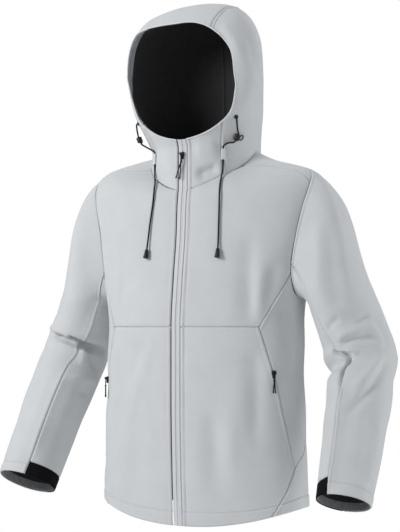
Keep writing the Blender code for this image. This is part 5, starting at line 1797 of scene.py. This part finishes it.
def make_cord(label, side):
    upper, middle, hanging = (
        on_side(side, route[side]) for route in (CORD_UPPER, CORD_MIDDLE, CORD_HANGING)
    )
    lock = make_lock(label, side, upper[-1], middle[0])
    end = make_cord_end(label, side, hanging)
    diameter = bpy.context.scene.jacket_sizes.cord
    route = upper + middle + hanging
    cord = smooth_curve(f"drawcord_{label}", route, diameter / 2, braid)
    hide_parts(*(f"cord_{part}_{label}" for part in ("upper", "middle", "hanging")))
    length = sum((b - a).length for a, b in zip(route, route[1:]))
    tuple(route[0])


def make_lock(label, side, start, end):
    """A barrel cord lock with a collar at each mouth and a small ring at its side."""
    sheet = bmesh.new()
    frame_here = line_frame(start, end)
    long = (end - start).length - 2 * LOCK_GAP
    bevelled_rod(sheet, LOCK_RADIUS, long, frame_here @ shifted(0, 0, -LOCK_GAP), bevel=LOCK_BEVEL)
    for drop in (LOCK_COLLAR_DROPS[0], long - LOCK_COLLAR_DROPS[1]):
        collar = frame_here @ shifted(0, 0, -LOCK_GAP - drop)
        bevelled_rod(sheet, LOCK_RADIUS + COLLAR_PROUD, LOCK_COLLAR, collar, bevel=COLLAR_BEVEL)
    aside = side * (LOCK_RADIUS + LOCK_RING - LOCK_RING_WIRE / 2)
    loop = shifted(aside, LOCK_RING_Y, -long / 2) @ Matrix.Rotation(math.pi / 2, 4, "X")
    wire_ring(sheet, LOCK_RING, LOCK_RING_WIRE, frame_here @ loop)
    return trim_piece(f"lock_{label}", sheet, f"cord_lock_{label}", moulded)


def make_cord_end(label, side, hanging):
    """A bell on the cord's end, with a stepped mouth."""
    foot = hanging[-1] + (hanging[-1] - hanging[-2]).normalized() * SEAM_GAP
    end = foot + Vector(CORD_END_WAY) * Vector((side, 1, 1))
    frame_here = line_frame(foot, end)
    neck_radius, mouth_radius = CORD_END_RADII
    sheet = bmesh.new()
    bevelled_rod(sheet, neck_radius, CORD_END, frame_here, mouth_radius, CORD_END_BEVEL)
    for radius, (drop, high) in zip((neck_radius + COLLAR_PROUD, mouth_radius), CORD_END_RIMS):
        bevelled_rod(sheet, radius, high, frame_here @ shifted(0, 0, -drop))
    return trim_piece(f"bell_{label}", sheet, f"cord_end_{label}", moulded)


def make_cord_fittings(label, side):
    """The hood's eyelet and the sewn tab that the cord passes through."""
    (eye,) = on_side(side, [EYELET])
    out = way_out(hood_field, np.array(EYELET))
    out.x *= side
    lift = EYELET_WIRE + SEAM_GAP
    sheet = bmesh.new()
    turned_out = line_frame(eye + out * lift, eye - out)
    wire_ring(sheet, EYELET_RADIUS, EYELET_WIRE, turned_out)
    radius, wire = (size * share for size, share in zip(
        (EYELET_RADIUS, EYELET_WIRE), EYELET_INNER_SHARES,
    ))
    wire_ring(sheet, radius, wire, turned_out @ shifted(0, 0, -EYELET_INNER_DROP))
    trim_piece(f"hood_eyelet_{label}", sheet, f"eyelet_{label}", moulded)
    (spot,) = on_side(side, [CORD_TAB])
    way = way_out(hood_field, np.array(CORD_TAB))
    way.x *= side
    here = surface_frame(spot, way)
    _, thick, long = CORD_TAB_SIZE
    sheet = bmesh.new()
    middle = here @ shifted(0, -SEAM_GAP - thick / 2, 0)
    bevelled_box(sheet, CORD_TAB_SIZE, middle, CORD_TAB_BEVEL)
    for rise in (-long * CORD_TAB_BAR_AT, long * CORD_TAB_BAR_AT):
        bar = here @ shifted(0, -SEAM_GAP - thick, rise)
        bevelled_box(sheet, CORD_TAB_BAR, bar, CORD_TAB_BAR_BEVEL)
    trim_piece(f"sewn_tab_{label}", sheet, f"cord_tab_{label}", thread)


# The front zip, and the sliders of all three

ZIP_PITCH = 0.0024
ZIP_ROW = 0.0008
COIL_AT = 0.0021
COIL_WIDTH = 0.0011
COIL_RISE = 0.0008
COIL_COLUMNS = (0.0001, 0.0045, 8)
TAPE_COLUMNS = (0.0056, ZIP_HALF - SEAM_GAP, 7)
TOOTH_DEPTH = 0.3
MEETING_DIP = 0.0006
MEETING_HALF = 0.0007
ZIP_SLOPE_OVER = 0.01
TAPE_WALL = 0.0010
ZIP_EDGE_DIP = 0.0024
ZIP_EDGE_DIP_FROM = 0.0024
ZIP_EDGE_DIP_OVER = 0.0020
ZIP_SLIDER_AT = -0.0025
POCKET_SLIDERS_AT = {LEFT: -0.405, RIGHT: -0.422}
SLIDER = (0.0080, 0.0032, 0.0130)
# Shares of the slider: the length of each end, how far that lies off the middle, the width of
# the lower end, and the width and length of the bridge
SLIDER_END = 0.62
SLIDER_END_OFF = 0.19
SLIDER_LOW_WIDTH = 0.72
BRIDGE_SHARES = (0.40, 0.80)
BRIDGE_HEIGHT = 0.0010
SLIDER_BEVEL = 0.0009
LUG = (0.0013, 0.0042, 0.0040)
LUG_X = 0.00275
LUG_Y = -0.0048
LUG_Z = 0.0030
PIN_Y = -0.0053
PIN_RADIUS = 0.0010
PIN_LENGTH = 0.0036
PIN_BEVEL = 0.0002
TAB_WIDTH = 0.0032
TAB_THICK = 0.0014
TAB_LENGTH = 0.0160
STRAND_RADIUS = 0.0011
STRAND_TIE = 0.003
STRAND_TIP = 0.0036
STRAND_TIP_AT = 0.0038
STRAND_BEVEL = 0.0005
KNOT = (TAB_WIDTH + 0.0008, 0.0034, 0.0030)
KNOT_DROP = 0.0018
KNOT_BEVEL = 0.0010
# Length of a pull's two strands and how far each leans to the side
ZIP_STRANDS = (0.034, (20, 6))
POCKET_STRANDS = (0.024, (5, -5))


def zip_line(z):
    """The front middle line's points at some heights."""
    z = np.asarray(z, float)
    low, high = torso_rings.sizes(z), hood_rings.sizes(z)
    y = np.where(z < neck(np.array(0.0))[1], low[1] - low[2], high[1] - high[2])
    return triples(0, y, z)


def make_zip():
    """Two ribbed tapes that meet at a reversed coil, a little below the front edges."""
    heights = np.linspace(HEM_FRONT, CHIN, round((CHIN - HEM_FRONT) / ZIP_ROW) + 1)
    middle = zip_line(heights)
    low = zip_line(np.maximum(heights - ZIP_SLOPE_OVER, HEM_FRONT))
    high = zip_line(np.minimum(heights + ZIP_SLOPE_OVER, CHIN))
    out = unit(np.cross((1.0, 0.0, 0.0), high - low))
    x = np.concatenate((np.linspace(*COIL_COLUMNS), np.linspace(*TAPE_COLUMNS)))
    coil = np.exp(-(((x - COIL_AT) / COIL_WIDTH) ** 2))
    teeth = 1 - TOOTH_DEPTH + TOOTH_DEPTH * np.cos(2 * np.pi * heights / ZIP_PITCH)
    sunk = ZIP_EDGE_DIP * ease((x - ZIP_HALF + ZIP_EDGE_DIP_FROM) / ZIP_EDGE_DIP_OVER)
    sunk = sunk + MEETING_DIP * ease((MEETING_HALF - x) / MEETING_HALF)
    rise = COIL_RISE * coil[None] * teeth[:, None] - sunk[None] - ZIP_RECESS
    half = middle[:, None] + triples(x, 0, 0)[None] + out[:, None] * rise[..., None]
    for label, side in SIDES:
        points = half if side == LEFT else half[:, ::-1] * (RIGHT, 1, 1)
        piece = lay_cloth(f"tape_{label}", points, [finish(zip_tape)], TAPE_WALL)
        stand_in(piece, f"zip_tape_{label}")
        cut_size(points)


def make_slider(label, spot, way, strand_length, leans):
    """A zip slider on the cloth, and its pull: a tab on a pin, with two cord strands."""
    here = surface_frame(spot + way * SEAM_GAP, way)
    wide, thick, long = SLIDER
    sheet = bmesh.new()
    for share, off in ((1.0, SLIDER_END_OFF), (SLIDER_LOW_WIDTH, -SLIDER_END_OFF)):
        end = here @ shifted(0, -thick / 2, long * off)
        bevelled_box(sheet, (wide * share, thick, long * SLIDER_END), end, SLIDER_BEVEL)
    bridge = wide * BRIDGE_SHARES[0], BRIDGE_HEIGHT, long * BRIDGE_SHARES[1]
    bevelled_box(sheet, bridge, here @ shifted(0, -thick, 0))
    for x in (-LUG_X, LUG_X):
        bevelled_box(sheet, LUG, here @ shifted(x, LUG_Y, LUG_Z))
    trim_piece(f"{label}_slider_body", sheet, f"{label}_slider", moulded)
    level = Vector((way.x, way.y, 0)).normalized()
    hinge = surface_frame(here @ Vector((0, PIN_Y, LUG_Z)), level)
    lying = shifted(PIN_LENGTH / 2, 0, 0) @ Matrix.Rotation(math.pi / 2, 4, "Y")
    sheet = bmesh.new()
    bevelled_rod(sheet, PIN_RADIUS, PIN_LENGTH, hinge @ lying, bevel=PIN_BEVEL)
    bevelled_box(sheet, (TAB_WIDTH, TAB_THICK, TAB_LENGTH), hinge @ shifted(0, 0, -TAB_LENGTH / 2))
    tied = hinge @ shifted(0, 0, STRAND_TIE - TAB_LENGTH)
    for lean in leans:
        strand = tied @ Matrix.Rotation(math.radians(lean), 4, "Y")
        bevelled_rod(sheet, STRAND_RADIUS, strand_length, strand, bevel=STRAND_BEVEL)
        tip = strand @ shifted(0, 0, STRAND_TIP_AT - strand_length)
        bevelled_rod(sheet, STRAND_RADIUS + COLLAR_PROUD, STRAND_TIP, tip, bevel=STRAND_BEVEL)
    bevelled_box(sheet, KNOT, tied @ shifted(0, 0, -KNOT_DROP), KNOT_BEVEL)
    trim_piece(f"{label}_pull_cord", sheet, f"{label}_pull", braid, body=f"{label}_pull")


def make_sliders(seams):
    low, high = (Vector(zip_line(ZIP_SLIDER_AT + rise)) for rise in (-SLIDER[2] / 2, SLIDER[2] / 2))
    out = Vector((1, 0, 0)).cross(high - low).normalized()
    make_slider("zip", (low + high) / 2 - out * ZIP_RECESS, out, *ZIP_STRANDS)
    pocket = seams["pocket"].places[::-1]
    for label, side in SIDES:
        height = POCKET_SLIDERS_AT[side]
        spot = torso(np.array((np.interp(height, pocket[:, 1], pocket[:, 0]), height)))
        way = way_out(torso_rings.field, spot)
        flip = Vector((side, 1, 1))
        make_slider(f"pocket_{label}", Vector(spot) * flip, way * flip, *POCKET_STRANDS)


# Edges and stitching

PIPING_RADIUS = 0.0014
STITCH_THICK = 0.0007
BARTACK = (0.0080, 0.0014, 0.0018)
BARTACK_AT = (52.6, -0.356)
STITCH_SHARE = 0.74
STITCH_LIFT = 0.35
STITCH_LOOK = 1e-4
BARTACK_LOOK = 0.05
PIPING_KNOTS = {"chin": 14, "face": 40, "brow": 9}


def make_piping(runs):
    """A thin rolled edge round the hood's opening, from one chin over the brow to the other."""
    halves = [
        np.concatenate((
            runs[side]["chin"].at(between(0, 1, PIPING_KNOTS["chin"]))[:-1],
            runs[side]["face"].at(between(0, 1, PIPING_KNOTS["face"]))[:-1],
            runs[side]["brow"].at(between(1, 0, PIPING_KNOTS["brow"])),
        )) * (side, 1, 1)
        for _, side in SIDES
    ]
    line = posed(np.concatenate((halves[0], halves[1][-2::-1])))
    smooth_curve("hood_edge_roll", [Vector(p) for p in line], PIPING_RADIUS, thread)


def bartack_frame(label, side):
    """Axes on the cloth at the head of a pocket."""
    spot = torso(np.array([BARTACK_AT]))[0] * (side, 1, 1)
    way = Vector((spot[0], spot[1], 0)).normalized()
    cloth = bpy.data.objects[f"front_lower_{label}_shell"]
    tree = BVHTree.FromObject(cloth, bpy.context.evaluated_depsgraph_get())
    hit = tree.ray_cast(Vector(spot) + way * BARTACK_LOOK, -way)
    return surface_frame(hit[0], hit[1])


def make_stitching():
    """Rows of thread stitches on the lines that the panels have kept."""
    pitch = bpy.context.scene.jacket_sizes.stitch
    sheet = bmesh.new()
    for line, out in stitch_lines:
        far = gaps_along(line, 0)
        count = int(far[-1] / pitch)
        middles = (np.arange(count) + 0.5) * pitch
        spots, ends = read(line, far, middles), read(line, far, middles + STITCH_LOOK)
        for spot, end, up in zip(spots, ends, unit(read(out, far, middles))):
            along = Vector(end - spot).normalized()
            up = Vector(up)
            across = up.cross(along).normalized()
            long, thick = pitch * STITCH_SHARE / 2, STITCH_THICK / 2
            axes = Matrix((along * long, across * thick, up * thick))
            turn = axes.transposed().to_4x4()
            turn.translation = Vector(spot) + up * STITCH_THICK * STITCH_LIFT
            bmesh.ops.create_icosphere(sheet, subdivisions=1, radius=1, matrix=turn)
    for label, side in SIDES:
        bevelled_box(sheet, BARTACK, bartack_frame(label, side))
    piece = add_piece("stitching", sheet, [finish(thread)])
    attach(piece, "jacket")


# The stage

VIEW_AZIMUTH = 30.0
VIEW_DISTANCE = 2.45
EYE_HEIGHT = -0.32
LENS = 86.8
SENSOR = 36.0
PICTURE_HEIGHT = 532
SHIFT_PIXELS = (-6, 61)
FLOOR = -1.45
FLOOR_RADIUS = 3.0
AMBIENT = (0.93, 0.96, 1.0, 1.0)
AMBIENT_STRENGTH = 0.30
LIT_MIDDLE = (0.0, 0.0, -0.25)
# Name, place, size and power
LIGHTS = (
    ("key", (-1.65, -2.15, 0.85), 1.0, 60.0),
    ("fill", (2.45, 0.70, 0.10), 1.6, 24.0),
    ("low", (2.10, -1.60, -0.80), 1.8, 9.0),
    ("top", (0.20, 0.60, 2.00), 1.6, 14.0),
    ("rim", (-1.30, 2.10, 0.60), 1.8, 16.0),
)


def make_camera():
    camera = bpy.data.cameras.new("photo_view")
    camera.lens = LENS
    camera.sensor_fit = "VERTICAL"
    camera.sensor_height = camera.sensor_width = SENSOR
    camera.shift_x, camera.shift_y = (pixels / PICTURE_HEIGHT for pixels in SHIFT_PIXELS)
    eye = bpy.data.objects.new("photo_view", camera)
    turn = math.radians(VIEW_AZIMUTH)
    eye.location = (VIEW_DISTANCE * math.sin(turn), -VIEW_DISTANCE * math.cos(turn), EYE_HEIGHT)
    eye.rotation_euler = (math.pi / 2, 0, turn)
    bpy.context.scene.collection.objects.link(eye)
    bpy.context.scene.camera = eye


def add_light(name, spot, size, power):
    lamp = bpy.data.lights.new(name, "AREA")
    lamp.shape = "DISK"
    lamp.size = size
    lamp.energy = power
    light = bpy.data.objects.new(name, lamp)
    light.location = spot
    light.rotation_euler = (Vector(spot) - Vector(LIT_MIDDLE)).to_track_quat("Z", "Y").to_euler()
    bpy.context.scene.collection.objects.link(light)


def make_world():
    world = bpy.data.worlds.new("white_studio")
    bpy.context.scene.world = world
    world.use_nodes = True
    nodes, links = world.node_tree.nodes, world.node_tree.links
    ambient = nodes["Background"]
    ambient.inputs["Color"].default_value = AMBIENT
    ambient.inputs["Strength"].default_value = AMBIENT_STRENGTH
    backdrop = nodes.new("ShaderNodeBackground")
    backdrop.inputs["Color"].default_value = (1.0, 1.0, 1.0, 1.0)
    rays = nodes.new("ShaderNodeLightPath")
    mix = nodes.new("ShaderNodeMixShader")
    links.new(rays.outputs["Is Camera Ray"], mix.inputs[0])
    links.new(ambient.outputs[0], mix.inputs[1])
    links.new(backdrop.outputs[0], mix.inputs[2])
    links.new(mix.outputs[0], nodes["World Output"].inputs["Surface"])


def make_stage():
    make_world()
    for light in LIGHTS:
        add_light(*light)
    sheet = bmesh.new()
    level = shifted(0, 0, FLOOR)
    bmesh.ops.create_circle(
        sheet, cap_ends=True, radius=FLOOR_RADIUS, segments=64, matrix=level,
    )
    floor = add_piece("floor", sheet, [finish(pale_floor)])
    floor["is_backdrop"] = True
    bpy.context.scene.view_settings.view_transform = "Standard"


# Sizes and colours that a user would change

class JacketSizes(bpy.types.PropertyGroup):
    """Sizes of the jacket's sewing and cords."""
    cord: FloatProperty(
        name="Drawcord", description="Diameter of the hood's drawcords", default=0.0032,
        unit="LENGTH",
    )
    stitch: FloatProperty(
        name="Stitch", description="Pitch of the topstitching", default=0.0040, unit="LENGTH",
    )


def colour_value(name, description, default):
    return FloatVectorProperty(
        name=name, description=description, default=default, size=3, subtype="COLOR",
        min=0.0, max=1.0,
    )


class JacketColours(bpy.types.PropertyGroup):
    """Colours of the jacket's cloth and trim."""
    cloth: colour_value("Shell", "Softshell cloth", (0.585, 0.605, 0.618))
    fleece: colour_value("Fleece", "Fleece inside the shell", (0.019, 0.0195, 0.021))
    pile: colour_value("Cuff pile", "Pile inside the cuffs", (0.210, 0.212, 0.220))
    trim: colour_value("Trim", "Cords, locks, sliders and cuff binding", (0.006, 0.006, 0.007))
    tape: colour_value("Zip tape", "Tape of the front zip", (0.640, 0.650, 0.670))
    thread: colour_value("Thread", "Stitching and the hood's rolled edge", (0.700, 0.710, 0.730))


class JacketStep(bpy.types.Operator):
    """Makes one group of the jacket's pieces."""
    bl_options = {"REGISTER", "UNDO"}

    def execute(self, context):
        self.make()
        return {"FINISHED"}


class JACKET_OT_cords(JacketStep):
    """Makes the camera and the hood's drawcords with their locks, ends, eyelets and tabs."""
    bl_idname = "jacket.cords"
    bl_label = "Drawcords"

    def make(self):
        make_camera()
        for label, side in SIDES:
            make_cord(label, side)
            make_cord_fittings(label, side)


class JACKET_OT_fronts(JacketStep):
    """Makes the upper and lower front panels."""
    bl_idname = "jacket.fronts"
    bl_label = "Fronts"

    def make(self):
        make_fronts(torso_seams())


class JACKET_OT_sides(JacketStep):
    """Makes the side panels under the arms."""
    bl_idname = "jacket.sides"
    bl_label = "Sides"

    def make(self):
        make_sides(torso_seams())


class JACKET_OT_back(JacketStep):
    """Makes the back panel, up to the shoulders."""
    bl_idname = "jacket.back"
    bl_label = "Back"

    def make(self):
        make_back(torso_seams())


class JACKET_OT_sleeves(JacketStep):
    """Makes the sleeves, their cuff binding and the lining inside the cuffs: grey pile at the
    mouth, black fleece as painted shade further in.
    """
    bl_idname = "jacket.sleeves"
    bl_label = "Sleeves"

    def make(self):
        make_sleeves()


class JACKET_OT_hood(JacketStep):
    """Makes the hood, the stand collar, the hood's lining and its rolled edge."""
    bl_idname = "jacket.hood"
    bl_label = "Hood"

    def make(self):
        runs = {side: hood_seams(torso_seams(), side) for _, side in SIDES}
        make_hood(runs)
        make_lining(runs)
        make_piping(runs)


class JACKET_OT_zip(JacketStep):
    """Makes the front zip's tapes and coil."""
    bl_idname = "jacket.zip"
    bl_label = "Zip"

    def make(self):
        make_zip()


class JACKET_OT_sliders(JacketStep):
    """Makes the sliders and pulls of the front zip and the pockets."""
    bl_idname = "jacket.sliders"
    bl_label = "Sliders"

    def make(self):
        make_sliders(torso_seams())


class JACKET_OT_stitching(JacketStep):
    """Sews the topstitching along the panels' seams."""
    bl_idname = "jacket.stitching"
    bl_label = "Stitching"

    def make(self):
        make_stitching()


class JACKET_OT_stage(JacketStep):
    """Makes the floor, the lights and the backdrop."""
    bl_idname = "jacket.stage"
    bl_label = "Stage"

    def make(self):
        make_stage()


STEPS = (
    JACKET_OT_cords, JACKET_OT_fronts, JACKET_OT_sides, JACKET_OT_back, JACKET_OT_sleeves,
    JACKET_OT_hood, JACKET_OT_zip, JACKET_OT_sliders, JACKET_OT_stitching, JACKET_OT_stage,
)


class JACKET_PT_panel(bpy.types.Panel):
    """Lists the jacket's sizes, colours and steps."""
    bl_label = "Jacket"
    bl_space_type = "VIEW_3D"
    bl_region_type = "UI"
    bl_category = "Jacket"

    def draw(self, context):
        for group in (context.scene.jacket_sizes, context.scene.jacket_colours):
            for name in group.__annotations__:
                self.layout.prop(group, name)
        for step in STEPS:
            self.layout.operator(step.bl_idname)


CLASSES = (JacketSizes, JacketColours, *STEPS, JACKET_PT_panel)


def register():
    for made in CLASSES:
        bpy.utils.register_class(made)
    bpy.types.Scene.jacket_sizes = PointerProperty(type=JacketSizes)
    bpy.types.Scene.jacket_colours = PointerProperty(type=JacketColours)


def unregister():
    del bpy.types.Scene.jacket_colours
    del bpy.types.Scene.jacket_sizes
    for made in reversed(CLASSES):
        bpy.utils.unregister_class(made)


def main():
    register()
    bpy.ops.jacket.cords()
    bpy.ops.jacket.fronts()
    bpy.ops.jacket.sides()
    bpy.ops.jacket.back()
    bpy.ops.jacket.sleeves()
    bpy.ops.jacket.hood()
    bpy.ops.jacket.zip()
    bpy.ops.jacket.sliders()
    bpy.ops.jacket.stitching()
    bpy.ops.jacket.stage()
    boxes = {"cad": cad_box, "visual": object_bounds()}
    {name: [list(map(float, c)) for c in box] for name, box in boxes.items()}


if __name__ == "__main__":
    main()
